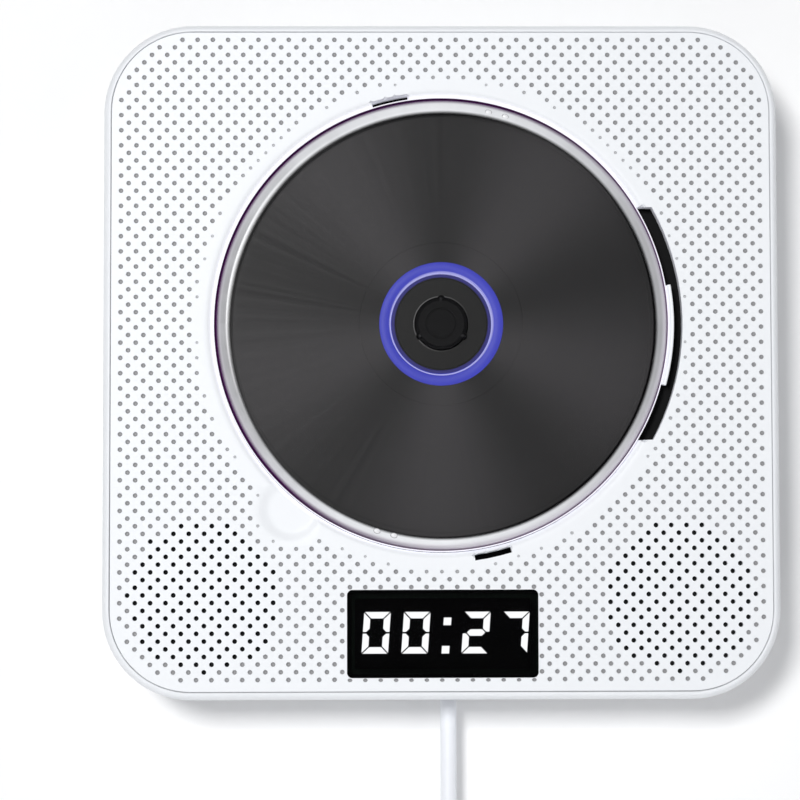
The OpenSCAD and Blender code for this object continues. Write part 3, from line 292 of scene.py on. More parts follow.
# %% The height of the skin
def skin_depth(x, z):
    """Depth below the face in mm: the larger of the rounded lip, LIP_D (1 - root of (1 - t^4))
    with t from 0 at the well's rim to 1 at its throat, and the finger dish, SCOOP_D times an S
    curve that rises from the dish's edge."""
    inside = WELL_R - np.hypot(x, z - DISC_UP)
    t = np.clip(inside / (WELL_R - THROAT_R), 0, 1)
    slope = LIP_D * (1 - np.sqrt(1 - t ** 4))
    s = np.clip(SCOOP_WALL * (1 - np.hypot(x - SCOOP[0], z - SCOOP[1]) / SCOOP_R), 0, 1)
    dish = SCOOP_D * s * s * (3 - 2 * s)
    return np.maximum(slope, dish)


def rings_of_points(centre, radii, steps):
    """Points on circles about a centre, each circle turned half a step from the one before."""
    radii = np.asarray(radii, float)[:, None]
    half_step = 0.5 * (np.arange(len(radii))[:, None] % 2)
    turn = 2 * np.pi * (np.arange(steps)[None, :] + half_step) / steps
    points = np.stack([centre[0] + radii * np.cos(turn), centre[1] + radii * np.sin(turn)], -1)
    return points.reshape(-1, 2)


# %% [markdown]
# Now the old front skin comes off: the flat front, the slope of the lip and the plain pocket of
# the finger dish. The edges that are left open bound the new skin.

# %% Take the old skin off
def front_triangles(points, triangles):
    """True for the triangles of the flat front, of the lip's slope and of the finger pocket."""
    corner = points[triangles]
    middle = corner.mean(1)
    across = np.cross(corner[:, 1] - corner[:, 0], corner[:, 2] - corner[:, 0])
    facing = -across[:, 1] / np.maximum(np.linalg.norm(across, axis=1), 1e-12)
    out = -middle[:, 1]
    r = np.hypot(middle[:, 0], middle[:, 2] - DISC_UP)
    from_scoop = np.hypot(middle[:, 0] - SCOOP[0], middle[:, 2] - SCOOP[1])
    flat = (out > FACE_OUT - 0.01) & (facing > 0.9)
    slope = (out > FACE_OUT - LIP_D - 0.05) & (facing > 0.3)
    slope &= (r > THROAT_R - 0.1) & (r < WELL_R + 0.1)
    pocket = (out > FACE_OUT - OLD_SCOOP_D - 0.02) & (from_scoop < OLD_SCOOP_R) & (r > THROAT_R)
    return flat | slope | pocket


plate = merged_mesh("front_plate")
plate_points = np.array([v.co[:] for v in plate.vertices]) / MM
plate_faces = np.array([f.vertices[:] for f in plate.polygons])
old_skin = front_triangles(plate_points, plate_faces)
kept_faces = plate_faces[~old_skin]


def open_edges(triangles):
    """The edges that belong to one triangle only."""
    edges = np.concatenate([triangles[:, pair] for pair in ([0, 1], [1, 2], [2, 0])])
    found, count = np.unique(np.sort(edges, axis=1), axis=0, return_counts=True)
    return found[count == 1]


rim_edges = open_edges(kept_faces)
rim_points, rim_edges = np.unique(rim_edges, return_inverse=True)
rim_edges = rim_edges.reshape(-1, 2)
print(old_skin.sum(), "old triangles off,", len(rim_edges), "open edges")

# %% [markdown]
# The new skin is triangulated in the plane, from the rim, the rings of the dimples and loose
# points that round the lip and the dish. A dimple that would run into the window from below is
# squashed upwards, so that it ends just under the window.

# %% Triangulate the new skin
LIP_RINGS = [64.32, 64.55, 64.85, 65.2, 65.6, 66.05, 66.5, 67.0]
SCOOP_RINGS = [0.6, 2.0, 3.2, 4.3, 5.2, 6.1, 7.0, 7.9, 8.6, 9.2]
LIP_END = 67.2
turn = 2 * np.pi * np.arange(DOT_SIDES) / DOT_SIDES
dot_ring = np.stack([dot_x[:, None] + dot_size[:, None] * np.cos(turn),
                     dot_z[:, None] + dot_size[:, None] * np.sin(turn)], -1)
window_low = WINDOW_AT[1] - WINDOW_HALF[1] - 0.06
cut_dots = (dot_z < window_low + 0.6) & (np.abs(dot_x - WINDOW_AT[0]) < WINDOW_HALF[0] + 0.3)
dot_foot = (dot_z - dot_size)[cut_dots, None]
room = np.minimum((window_low - dot_foot) / (2 * dot_size[cut_dots, None]), 1)
dot_ring[cut_dots, :, 1] = dot_foot + room * (dot_ring[cut_dots, :, 1] - dot_foot)
rim_flat = plate_points[rim_points][:, [0, 2]]
loose = np.concatenate([
    rings_of_points((0, DISC_UP), LIP_RINGS, 300), rings_of_points(SCOOP, SCOOP_RINGS, 40)])
loose_r = np.hypot(loose[:, 0], loose[:, 1] - DISC_UP)
in_scoop = np.hypot(loose[:, 0] - SCOOP[0], loose[:, 1] - SCOOP[1]) < SCOOP_R + 0.2
loose = loose[(loose_r > THROAT_R + 0.08) & ((loose_r < LIP_END) | in_scoop)]
flat_points = np.concatenate([rim_flat, dot_ring.reshape(-1, 2), loose])
first = len(rim_flat) + DOT_SIDES * np.arange(len(dot_x))[:, None]
k = np.arange(DOT_SIDES)[None, :]
dot_edges = np.stack([first + k, first + (k + 1) % DOT_SIDES], -1).reshape(-1, 2)
all_edges = np.concatenate([rim_edges, dot_edges])
made, _, triangles, origin, _, _ = delaunay_2d_cdt(
    [Vector(p) for p in flat_points.tolist()], all_edges.tolist(), [], 0, 1e-6)
made = np.array([tuple(p) for p in made])
triangles = np.array([t for t in triangles if len(t) == 3])
source = np.array([o[0] if o else -1 for o in origin])
print(len(flat_points), "points give", len(triangles), "triangles")

# %% [markdown]
# The triangulation fills every outline. Triangles in an opening of the plate, in a dimple's ring
# or in an open hole over a speaker are dropped. The holes stand on the same grid as the dots.

# %% Keep the skin and drop the openings
HOLE_R = 0.68


def in_opening(x, z):
    """True where the plate is open: beyond its rim, in the well, notch, slots or window."""
    r, angle = np.hypot(x, z - DISC_UP), np.degrees(np.arctan2(z - DISC_UP, x))
    gone = rounded_box(x, z, (0, 0), RIM_HALF, RIM_CORNER) > 0
    gone |= r < THROAT_R - 0.02
    gone |= (x > 0) & (r < NOTCH_R - 0.005) & (np.abs(z - DISC_UP) < NOTCH_HALF)
    gone |= rounded_box(x, z, WINDOW_AT, WINDOW_HALF, WINDOW_CORNER) < 0
    for at, r_in, r_out in SLOTS:
        gone |= (np.abs(angle - at) < SLOT_HALF) & (r > r_in) & (r < r_out - 0.01)
    return gone


centre = made[triangles].mean(1)
dots_from, dots_to = len(rim_flat), len(rim_flat) + dot_ring.size // 2
from_rim = (source >= 0) & (source < dots_from)
from_dots = (source >= dots_from) & (source < dots_to)
ring_of = np.where(from_dots, (source - dots_from) // DOT_SIDES, -1)[triangles]
in_dot = (ring_of[:, 0] >= 0) & (ring_of == ring_of[:, :1]).all(1)
from_speaker = np.hypot(np.abs(centre[:, 0]) - SPEAKER_AT[0], centre[:, 1] - SPEAKER_AT[1])
column = centre[:, 0] / DOT_STEP
row = (TOP_ROW - centre[:, 1]) / DOT_STEP
near_x, near_z = np.round(column), np.round(row)
odd = (near_x + near_z) % 2 != 0
shift_first = np.abs(column - near_x) > np.abs(row - near_z)
near_x = np.where(odd & shift_first, near_x + np.sign(column - near_x), near_x)
near_z = np.where(odd & ~shift_first, near_z + np.sign(row - near_z), near_z)
hole_distance = np.hypot((column - near_x) * DOT_STEP, (row - near_z) * DOT_STEP)
in_hole = (from_speaker < GRILLE_R + 0.7) & (hole_distance < HOLE_R)
in_hole &= from_rim[triangles].all(1)
skin = triangles[~(in_opening(centre[:, 0], centre[:, 1]) | in_dot | in_hole)]
print(len(skin), "triangles in the new skin")

# %% [markdown]
# The flat skin is pushed back to its depth, each dimple gets its wall and floor, and both join
# the rest of the plate. Each point also says how deep it lies in a dimple.

# %% Join skin, dimples and the rest of the plate
sunk_to = skin_depth(made[:, 0], made[:, 1]) - FACE_OUT
skin_points = np.stack([made[:, 0], sunk_to, made[:, 1]], -1)
skin_points[from_rim] = plate_points[rim_points][source[from_rim]]


def dimple(depth=0.55):
    """Rings of each dimple, as (share of the radius, share of the depth): the rim on the skin, a
    steep wall and a rounded floor. Gives the points, the triangles and how sunk each point is."""
    shares = ((1.0, 0.0), (0.86, 0.5), (0.5, 0.93), (0.0, 1.0))
    middle = dot_ring.mean(1)[:, None, :]
    flat = np.stack([middle + share * (dot_ring - middle) for share, _ in shares])
    full = depth * dot_size / DOT_R
    deep = np.array([part for _, part in shares])[:, None, None] * full[None, :, None]
    high = FACE_OUT - deep - np.where(deep == 0, skin_depth(flat[..., 0], flat[..., 1]), 0)
    points = np.stack([flat[..., 0], -high, flat[..., 1]], -1).reshape(-1, 3)
    n, base = len(dot_x) * DOT_SIDES, DOT_SIDES * np.arange(len(dot_x))[:, None]
    here, there = base + k, base + (k + 1) % DOT_SIDES
    walls = [np.stack([here + a, there + a, there + a + n], -1) for a in (0, n)]
    walls += [np.stack([here + a, there + a + n, here + a + n], -1) for a in (0, n)]
    floor = np.stack([here + 2 * n, there + 2 * n, base + 3 * n + 0 * k], -1)
    sunk = np.repeat([0.0, 0.75, 1.0, 1.0], n) * np.tile(np.repeat(dot_size / DOT_R, DOT_SIDES), 4)
    return points, np.concatenate([w.reshape(-1, 3) for w in walls + [floor]]), sunk


dimple_points, dimple_faces, dimple_sunk = dimple()
skin_from = len(plate_points)
dimples_from = skin_from + len(skin_points)
all_points = np.concatenate([plate_points, skin_points, dimple_points])
all_faces = np.concatenate([kept_faces, skin + skin_from, dimple_faces + dimples_from])
all_sunk = np.concatenate([np.zeros(dimples_from), dimple_sunk])
used, all_faces = np.unique(all_faces, return_inverse=True)
data = bpy.data.meshes.new("face_plate")
data.from_pydata((all_points[used] * MM).tolist(), [], all_faces.reshape(-1, 3).tolist())
data.attributes.new("sunk", "FLOAT", "POINT").data.foreach_set("value", all_sunk[used])
face_plate = dress(show_mesh("face_plate", joined(data), 32), "front_plate")
print(len(face_plate.data.polygons), "triangles in the front plate")

# %% [markdown]
# ## Shells, feet and buttons
# The solid model's own shapes are right for the shells and the buttons. They are smoothed where
# they are round, and the buttons get the small rounding that a mould leaves on an edge.

# %% Shells and buttons
smooth_copy("front_shell", "front_frame", 24)
smooth_copy("rear_shell", "back_shell", 24)
smooth_copy("rubber_feet", "wall_feet", 40, 0.25)
smooth_copy("wall_bracket", "hook_bracket", 40, 0.15)
for button in ("mode", "previous", "play", "next", "softer", "louder"):
    smooth_copy(button + "_button", button + "_key", 40, 0.25)
smooth_copy("cord_gland", "cord_bush", 30, 0.2)
print("shells, feet and buttons are smooth")

# %% [markdown]
# ## The dust cover
# A clear lid with a flat top and a rounded shoulder, pressed into the well. It has a small tab in
# the finger notch and two pairs of moulded pips. It is turned on a lathe: the shoulder is a
# quarter of an ellipse outside, and the inside runs parallel to it. A soft seal sits round its
# foot, and the seal's thin lip fills the gap to the plate.

# %% Dust cover
COVER_R, COVER_T, COVER_TOP = 63.6, 1.2, 43.0
SHOULDER_IN, SHOULDER_OUT = 3.6, 4.5
COVER_FOOT, SHOULDER_BACK = 37.25, 38.5
bend = np.linspace(0, np.pi / 2, 15)
top_r = COVER_R - SHOULDER_IN
outside = np.stack([top_r + SHOULDER_IN * np.cos(bend),
                    SHOULDER_BACK + SHOULDER_OUT * np.sin(bend)], -1)
inside = np.stack([top_r - COVER_T / 2 + (SHOULDER_IN - COVER_T / 2) * np.cos(bend),
                   SHOULDER_BACK + (SHOULDER_OUT - COVER_T) * np.sin(bend)], -1)[::-1]
top_rings = np.array([[r, COVER_TOP] for r in (56, 40, 20, 8)])
under_rings = np.array([[r, COVER_TOP - COVER_T] for r in (8, 20, 40, 56)])
cover_profile = np.concatenate([
    [[COVER_R, COVER_FOOT]], outside, top_rings, [[0, COVER_TOP], [0, COVER_TOP - COVER_T]],
    under_rings, inside, [[COVER_R - COVER_T, COVER_FOOT], [COVER_R, COVER_FOOT]]])
dress(lathe("clear_cover", cover_profile, steps=240), "dust_cover")


def sector(name, profile, start, end, steps=40):
    """Carries a closed profile of (radius, out) along an arc between two angles, and caps it."""
    profile = np.asarray(profile, float)
    turn = np.radians(np.linspace(start, end, steps))[:, None]
    r, out = profile[:, 0][None, :], profile[:, 1][None, :]
    points = np.stack([r * np.cos(turn), -out + 0 * turn, DISC_UP + r * np.sin(turn)], -1)
    n = len(profile)
    a = (np.arange(steps - 1)[:, None] * n + np.arange(n)[None, :])
    b = (np.arange(steps - 1)[:, None] * n + (np.arange(n)[None, :] + 1) % n)
    quads = np.stack([a, b, b + n, a + n], -1).reshape(-1, 4).tolist()
    caps = [list(range(n))[::-1], list(range((steps - 1) * n, steps * n))]
    return closed_mesh(name, points, quads + caps)


TAB_PROFILE = [(63.3, 37.85), (65.4, 37.85), (65.4, 40.8), (65.2, 41.0), (64.6, 41.0),
               (63.55, 38.5)]
TAB_FROM, TAB_TO = -15.5, 9.6
tab = sector("finger_tab", TAB_PROFILE, TAB_FROM, TAB_TO)
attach(tab, "dust_cover")
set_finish(tab, "white_plastic")


PIP_AT, PIP_OUT, PIP_SIZE = 60.9, 42.80, (0.75, 0.35, 1.0)
PIP_ANGLES = [middle + side for middle in (75, 255) for side in (-2.3, 2.3)]
PIP_STEPS, PIP_RINGS = 20, 7


def pips():
    """Four short ribs on the shoulder, in two pairs: each is a flattened dome, half a ball with
    its three radii in PIP_SIZE."""
    u, v = np.meshgrid(np.linspace(0, 2 * np.pi, PIP_STEPS, endpoint=False),
                       np.linspace(0.05, np.pi / 2, PIP_RINGS), indexing="ij")
    i, j = np.meshgrid(np.arange(PIP_STEPS), np.arange(PIP_RINGS - 1), indexing="ij")
    here, there = i * PIP_RINGS + j, (i + 1) % PIP_STEPS * PIP_RINGS + j
    quads = np.stack([here, there, there + 1, here + 1], -1).reshape(-1, 4)
    points, faces = [], []
    for a in np.radians(PIP_ANGLES):
        x = PIP_AT + PIP_SIZE[0] * np.sin(v) * np.cos(u)
        out = PIP_OUT + PIP_SIZE[1] * np.cos(v)
        along = PIP_SIZE[2] * np.sin(v) * np.sin(u)
        turned = np.stack([x * math.cos(a) - along * math.sin(a), -out,
                           DISC_UP + x * math.sin(a) + along * math.cos(a)], -1)
        base = len(points) * PIP_STEPS * PIP_RINGS
        points.append(turned.reshape(-1, 3))
        faces += (quads + base).tolist()
        tip = [base + m * PIP_RINGS for m in range(PIP_STEPS)]
        faces += [tip, [m + PIP_RINGS - 1 for m in tip][::-1]]
    return closed_mesh("cover_pips", np.concatenate(points), faces, 60, 1e-7)


SEAL_IN, SEAL_R, SEAL_BACK = 61.9, 63.95, 37.0
LIP_IN, LIP_R = 63.66, 64.08
seal_profile = [(SEAL_IN, SEAL_BACK), (SEAL_R, SEAL_BACK), (LIP_R, 37.4), (LIP_R, 40.2),
                (64.0, 40.45), (63.8, 40.5), (LIP_IN, 40.3), (LIP_IN, COVER_FOOT),
                (SEAL_IN, COVER_FOOT), (SEAL_IN, SEAL_BACK)]
dress(lathe("seal", seal_profile, steps=240), "cover_seal")
cover_pips = pips()
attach(cover_pips, "dust_cover")
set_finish(cover_pips, "clear_plastic")
print("cover with tab, pips and seal")

# %% [markdown]
# ## The disc and its hub
# A disc is 1.2 mm thick and 120 mm across. Its face isn't quite flat: it has a stacking ring, a
# step at the clear hub and a rounded rim, which catch thin lines of light. One turned profile
# holds them all. The hub cap is turned too, with a ring groove in its top.

# %% Disc
DISC_TOP, DISC_UNDER = 39.2, 38.0
top_side = [(7.5, -0.1), (7.6, 0), (12.7, 0), (12.8, -0.12), (13.1, -0.12), (13.2, 0),
            (14.05, 0), (14.2, 0.15), (14.45, 0.15), (14.6, 0), (17.4, 0), (22.9, 0),
            (23.0, -0.03), (58.6, -0.03), (58.7, 0), (59.75, 0), (60.0, -0.25)]
under_side = [(60.0, 0.2), (59.8, 0), (7.6, 0), (7.5, 0.1)]
disc_profile = [(7.5, DISC_UNDER + 0.1), *((r, DISC_TOP + h) for r, h in top_side),
                *((r, DISC_UNDER + h) for r, h in under_side)]
dress(lathe("disc", disc_profile, steps=256, sharp=8), "compact_disc")
band_profile = [(14.6, 39.2), (14.6, 39.34), (14.7, 39.4), (17.3, 39.4), (17.4, 39.34),
                (17.4, 39.2), (14.6, 39.2)]
dress(lathe("blue_band", band_profile, steps=160), "disc_ring")
cap_profile = [(0, 38.0), (7.35, 38.0), (7.35, 40.5), (7.25, 40.7), (6.6, 41.1), (6.4, 41.2),
               (4.4, 41.2), (4.35, 41.15), (4.35, 40.95), (3.95, 40.95), (3.95, 41.15),
               (3.9, 41.2), (0, 41.2)]
cap = dress(lathe("hub_top", cap_profile, steps=96, sharp=12), "hub_cap")
smooth_copy("turntable", "turn_plate", 40, 0.15)
clamp_bearings = smooth_copy("clamp_balls", "clamp_bearings", 60)
print("disc", round(2 * max(r for r, _ in disc_profile), 1), "mm across")

# %% [markdown]
# ## The return spring
# The switch's spring stands between the slider's collar and the floor of the switch body. When the
# cord is pulled, the slider comes down and the spring has to get shorter. Its smooth copy gets a
# mesh of its own.

# %% Return spring
spring = smooth_copy("switch_spring", "return_spring", 60)
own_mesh(spring)

# %% [markdown]
# ## The knob
# The knob at the cord's end is a turned plastic bead: a neck that grips the cord, a swelling body
# and a rounded foot.

# %% Knob
def knob_profile():
    """(radius, height) in mm: half a cosine wave from the neck to the body, then a round foot."""
    s = np.linspace(0, 1, 20)
    neck, body, top, swell, round_r, foot = 3.2, 6.5, -237.0, 18.0, 3.0, -258.0
    side = np.stack([neck + (body - neck) * (1 - np.cos(np.pi * s)) / 2, top - swell * s], -1)
    a = np.linspace(0, np.pi / 2, 10)[1:]
    end = np.stack([body - round_r + round_r * np.cos(a), foot + round_r - round_r * np.sin(a)], -1)
    return np.concatenate([[[2.4, -245.1], [2.4, top], [neck - 0.3, top]], side, end, [[0, foot]]])


def hanging_lathe(name, profile, steps=64):
    """Turns (radius, height) in mm round the cord's own line."""
    profile = np.concatenate([[[0, profile[0][1]]], profile])
    turn = np.linspace(0, 2 * np.pi, steps, endpoint=False)
    r, h = profile[:, 0][:, None], profile[:, 1][:, None]
    points = np.stack([CORD_X + r * np.cos(turn), -CORD_OUT + r * np.sin(turn), h + 0 * turn], -1)
    return closed_mesh(name, points, ring_quads(len(profile), steps))


knob = dress(hanging_lathe("knob", knob_profile()), "pull_knob")
dress(cord, "pull_cord")
print("the cord ends in its knob at", round(-258 * MM, 3), "m")

# %% [markdown]
# ## The grille cloths
# Behind the open holes a black cloth is stretched over each speaker. It is a flat round sheet,
# held at its edge by the speaker's frame, so a disc of a few rings is enough, with the weave in
# its finish.

# %% Grille cloths
CLOTH_R, CLOTH_FRONT = 22.4, 39.0
cloth_top, cloth_back, hem_r = CLOTH_FRONT - 0.02, CLOTH_FRONT - 0.3, CLOTH_R - 0.05
rings = [(hem_r, cloth_back), (CLOTH_R, CLOTH_FRONT - 0.15), (hem_r, cloth_top), (16, cloth_top),
         (8, cloth_top), (0, cloth_top), (0, cloth_back), (8, cloth_back), (16, cloth_back),
         (hem_r, cloth_back)]
for side, name in ((-1, "left_cloth"), (1, "right_cloth")):
    cloth = dress(lathe(name, rings, centre=(side * SPEAKER_AT[0], SPEAKER_AT[1]), steps=96),
                  "grille_cloths")
print("two stretched cloths")

# %% [markdown]
# ## Writing finishes as sums
# A finish is a small network of shader nodes. `Signal` wraps one output of a node and lets
# Python's own signs build the Math nodes, so that `0.4 + 0.1 * noise` reads as it is meant.

# %% Signals
class Signal:
    """One output of a node, which can be added, taken away, multiplied and compared."""

    def __init__(self, finish, socket):
        self.finish, self.socket = finish, socket

    def _with(self, operation, other, turned=False):
        pair = (other, self) if turned else (self, other)
        return self.finish.sum(operation, *pair)

    __add__ = __radd__ = lambda self, other: self._with("ADD", other)
    __mul__ = __rmul__ = lambda self, other: self._with("MULTIPLY", other)
    __sub__ = lambda self, other: self._with("SUBTRACT", other)
    __rsub__ = lambda self, other: self._with("SUBTRACT", other, True)
    __gt__ = lambda self, other: self._with("GREATER_THAN", other)

    def wave(self, turns=1.0, shift=0.0):
        """0.5 + 0.5 sin(turns x + shift), a number from 0 to 1."""
        inner = self * turns + shift
        return self.finish.sum("SINE", inner) * 0.5 + 0.5

    def band(self, low, high):
        """1 between two values and 0 outside."""
        return (self > low) * (1 - (self > high))

    def smooth(self, low, high):
        """0 below low, 1 above high, and an S between them."""
        settings = {"interpolation_type": "SMOOTHSTEP"}
        return self.finish.node("ShaderNodeMapRange", settings, {0: self, 1: low, 2: high})


class Finish:
    """A material: one Principled shader, and the nodes that feed it."""

    def __init__(self, name, colour, roughness=0.5, **constants):
        self.material = bpy.data.materials.new(name)
        self.material.use_nodes = True
        self.tree = self.material.node_tree
        self.shader = next(n for n in self.tree.nodes if n.type == "BSDF_PRINCIPLED")
        self.colour, self.roughness = colour, roughness
        self.feed("Base Color", (*colour, 1))
        self.feed("Roughness", roughness)
        for socket, value in constants.items():
            self.feed(socket.replace("_", " "), value)

    def node(self, kind, settings=None, inputs=None, output=0):
        """Adds a node of a type: first its settings, then the values or links of its sockets."""
        n = self.tree.nodes.new(kind)
        for key, value in (settings or {}).items():
            if key == "stops":
                ramp = n.color_ramp
                while len(ramp.elements) < len(value):
                    ramp.elements.new(0.5)
                for element, (at, colour) in zip(ramp.elements, value):
                    element.position, element.color = at, (*colour, 1)
            else:
                setattr(n, key, value)
        for key, value in (inputs or {}).items():
            self.connect(n.inputs[key], value)
        return Signal(self, n.outputs[output])

    def sum(self, operation, *values):
        """A Math node: the operation's name, then its signals or numbers."""
        return self.node("ShaderNodeMath", {"operation": operation}, dict(enumerate(values)))

    def connect(self, socket, value):
        if isinstance(value, Signal):
            self.tree.links.new(value.socket, socket)
        else:
            socket.default_value = value

    def feed(self, socket, value):
        self.connect(self.shader.inputs[socket], value)
        return self

    def place(self):
        """The point on the object, in metres, as a vector."""
        return self.node("ShaderNodeTexCoord", output=3)

    def axes(self, vector=None):
        """The three numbers of a vector, each as a signal."""
        split = self.node("ShaderNodeSeparateXYZ", {}, {0: vector or self.place()})
        return [Signal(self, split.socket.node.outputs[n]) for n in range(3)]

    def noise(self, size, detail=3.0, stretch=(1, 1, 1), rough=0.5):
        """Cloudy noise with blobs of about size metres."""
        where = {0: self.place(), 1: stretch}
        where = self.node("ShaderNodeVectorMath", {"operation": "MULTIPLY"}, where)
        inputs = {"Vector": where, "Scale": 1 / size, "Detail": detail, "Roughness": rough}
        return self.node("ShaderNodeTexNoise", {}, inputs)

    def streaks(self, angle, times, scale, detail):
        """Noise along the angle alone, which draws rays."""
        inputs = {"W": angle * times, "Scale": scale, "Detail": detail}
        return self.node("ShaderNodeTexNoise", {"noise_dimensions": "1D"}, inputs)

    def mix(self, amount, a, b):
        """A colour between a and b."""
        return self.node("ShaderNodeMix", {"data_type": "RGBA"}, {0: amount, 6: a, 7: b}, output=2)

    def bump(self, height, strength, distance):
        """Grain: the height pushes the surface in and out by up to a distance in metres."""
        inputs = {"Strength": strength, "Distance": distance, "Height": height}
        return self.feed("Normal", self.node("ShaderNodeBump", {}, inputs))


def shade(colour, by):
    """The colour made lighter or darker by a factor, with no change of hue."""
    return (*(min(1.0, c * by) for c in colour), 1)


# %% [markdown]
# ## Moulded and drawn finishes
# Most pieces are moulded plastic, rubber, sheet steel or board. They share a recipe: the colour
# drifts a little in soft clouds, the gloss varies with them, and a fine grain bends the light.

# %% Plain finishes
def moulded(name, colour, roughness, grain=0.0004, depth=0.00002, drift=0.04, **constants):
    """Colour, roughness and grain from two noises: one of 20 mm clouds, one of fine grain."""
    f = Finish(name, colour, roughness, **constants)
    cloud, fine = f.noise(0.02), f.noise(grain, 2.0)
    f.feed("Base Color", f.mix(cloud, shade(colour, 1 - drift), shade(colour, 1 + drift)))
    f.feed("Roughness", roughness - 0.06 + 0.12 * fine)
    return f.bump(fine, 0.35, depth)


def drawn(name, colour, roughness, along=(1, 1, 20), metallic=1.0):
    """Rolled or drawn metal: noise stretched into lines along one direction."""
    f = Finish(name, colour, roughness, Metallic=metallic)
    lines, cloud = f.noise(0.004, 4.0, along), f.noise(0.015)
    f.feed("Base Color", f.mix(cloud, shade(colour, 0.86), shade(colour, 1.08)))
    f.feed("Roughness", roughness - 0.10 + 0.20 * lines)
    return f.bump(lines, 0.15, 0.00003)


PLAIN = [
    (moulded, "painted_steel", (0.62, 0.63, 0.65), 0.42, 0.0008, 0.00002, 0.05),
    (moulded, "rubber", (0.030, 0.030, 0.032), 0.85, 0.0006, 0.00004, 0.2),
    (drawn, "screw_steel", (0.60, 0.61, 0.63), 0.32),
    (moulded, "black_plastic", (0.011, 0.011, 0.013), 0.42, 0.0005, 0.00002, 0.2),
    (drawn, "polished_steel", (0.78, 0.79, 0.81), 0.16, (20, 1, 20)),
    (drawn, "motor_can", (0.58, 0.58, 0.60), 0.30, (1, 20, 1)),
    (drawn, "deck_steel", (0.52, 0.54, 0.57), 0.38, (20, 1, 1)),
    (moulded, "gear_nylon", (0.78, 0.77, 0.72), 0.38, 0.0008, 0.00002, 0.05),
    (drawn, "socket_metal", (0.66, 0.66, 0.67), 0.26, (1, 20, 1)),
    (moulded, "speaker_steel", (0.055, 0.056, 0.060), 0.45, 0.0006, 0.00002, 0.2),
    (drawn, "speaker_magnet", (0.30, 0.30, 0.31), 0.40, (1, 20, 1)),
    (moulded, "speaker_cone", (0.035, 0.034, 0.034), 0.90, 0.0012, 0.00008, 0.3),
    (moulded, "white_cord", (0.84, 0.86, 0.90), 0.38, 0.0006, 0.00001, 0.01),
]
FINISH = {name: recipe(name, *numbers) for recipe, name, *numbers in PLAIN}
FINISH["speaker_steel"].feed("Metallic", 0.4)
print(len(FINISH), "plain finishes")

# %% [markdown]
# ## The white case
# The case is satin white plastic, a little cool. Each dimple has painted shade: its colour is
# darker inside, because little light gets out of it again. The front plate carries a number at
# every point, "sunk", which is 1 on a dimple's floor and 0 elsewhere, and the finish reads its
# painted shade from that. The lip of the well has a painted glow.

# %% White plastic
WHITE = (0.84, 0.86, 0.885)


def angle_and_radius(f):
    """The angle round the hub in radians and the distance from it in metres."""
    x, _, z = f.axes()
    return polar(f, x, z - DISC_UP * MM)


def polar(f, x, up):
    """Angle and distance of the point (x, up)."""
    return f.sum("ARCTAN2", up, x), f.sum("SQRT", x * x + up * up)


UPPER_LEFT, UPPER_RIGHT, FIRST_RAY = math.radians(150), math.radians(65), math.radians(54)


def facing(angle, where, times=1.0):
    """0.5 + 0.5 cos(times (angle - where)): 1 in that direction and 0 in the opposite one."""
    return (angle - where).wave(times, math.pi / 2)


def facing_left(angle):
    """1 at the upper left of the round things and 0 at the lower right, with a soft change."""
    return facing(angle, UPPER_LEFT).smooth(0.10, 0.65)


def white_plastic():
    """Satin white that goes towards grey, as painted shade, where the piece's own "sunk" number
    rises to 1. The thin lip of the well has a painted glow, most at the upper left."""
    f = moulded("white_plastic", WHITE, 0.42, 0.0005, 0.000006, 0.012, Specular_IOR_Level=0.35,
                Emission_Strength=1.0)
    sunk = f.node("ShaderNodeAttribute", {"attribute_name": "sunk"}, output=2)
    plain = f.mix(f.noise(0.02), shade(WHITE, 0.99), shade(WHITE, 1.01))
    # Painted shade: the colour goes grey towards the dimples' floors.
    f.feed("Base Color", f.mix(sunk, plain, (0.27, 0.27, 0.275, 1)))
    angle, radius = angle_and_radius(f)
    # Painted glow on the lip of the well, strongest at the upper left, towards the lamp.
    glowing_lip = radius.smooth(0.0638, 0.0641) * (1 - radius.smooth(0.0645, 0.0656))
    glowing_lip = glowing_lip * (0.3 + 0.7 * facing_left(angle))
    return f.feed("Emission Color", f.mix(glowing_lip, (0, 0, 0, 1), (0.27, 0.27, 0.29, 1)))


FINISH["white_plastic"] = white_plastic()
print("white plastic with shaded dimples")

# %% [markdown]
# ## The dark disc
# The dark face of a disc spreads light across its grooves, so broad rays run from the hub to the
# rim. They depend on the angle round the hub alone. The photograph shows five of them, all alike
# and 72 degrees apart, so one wave of the angle draws them, and a fine noise of the angle breaks
# them up a little, as real grooves do.

# %% Disc face
BLACK_R, VIOLET_R, BLUE_R = 0.0131, 0.0140, 0.0146


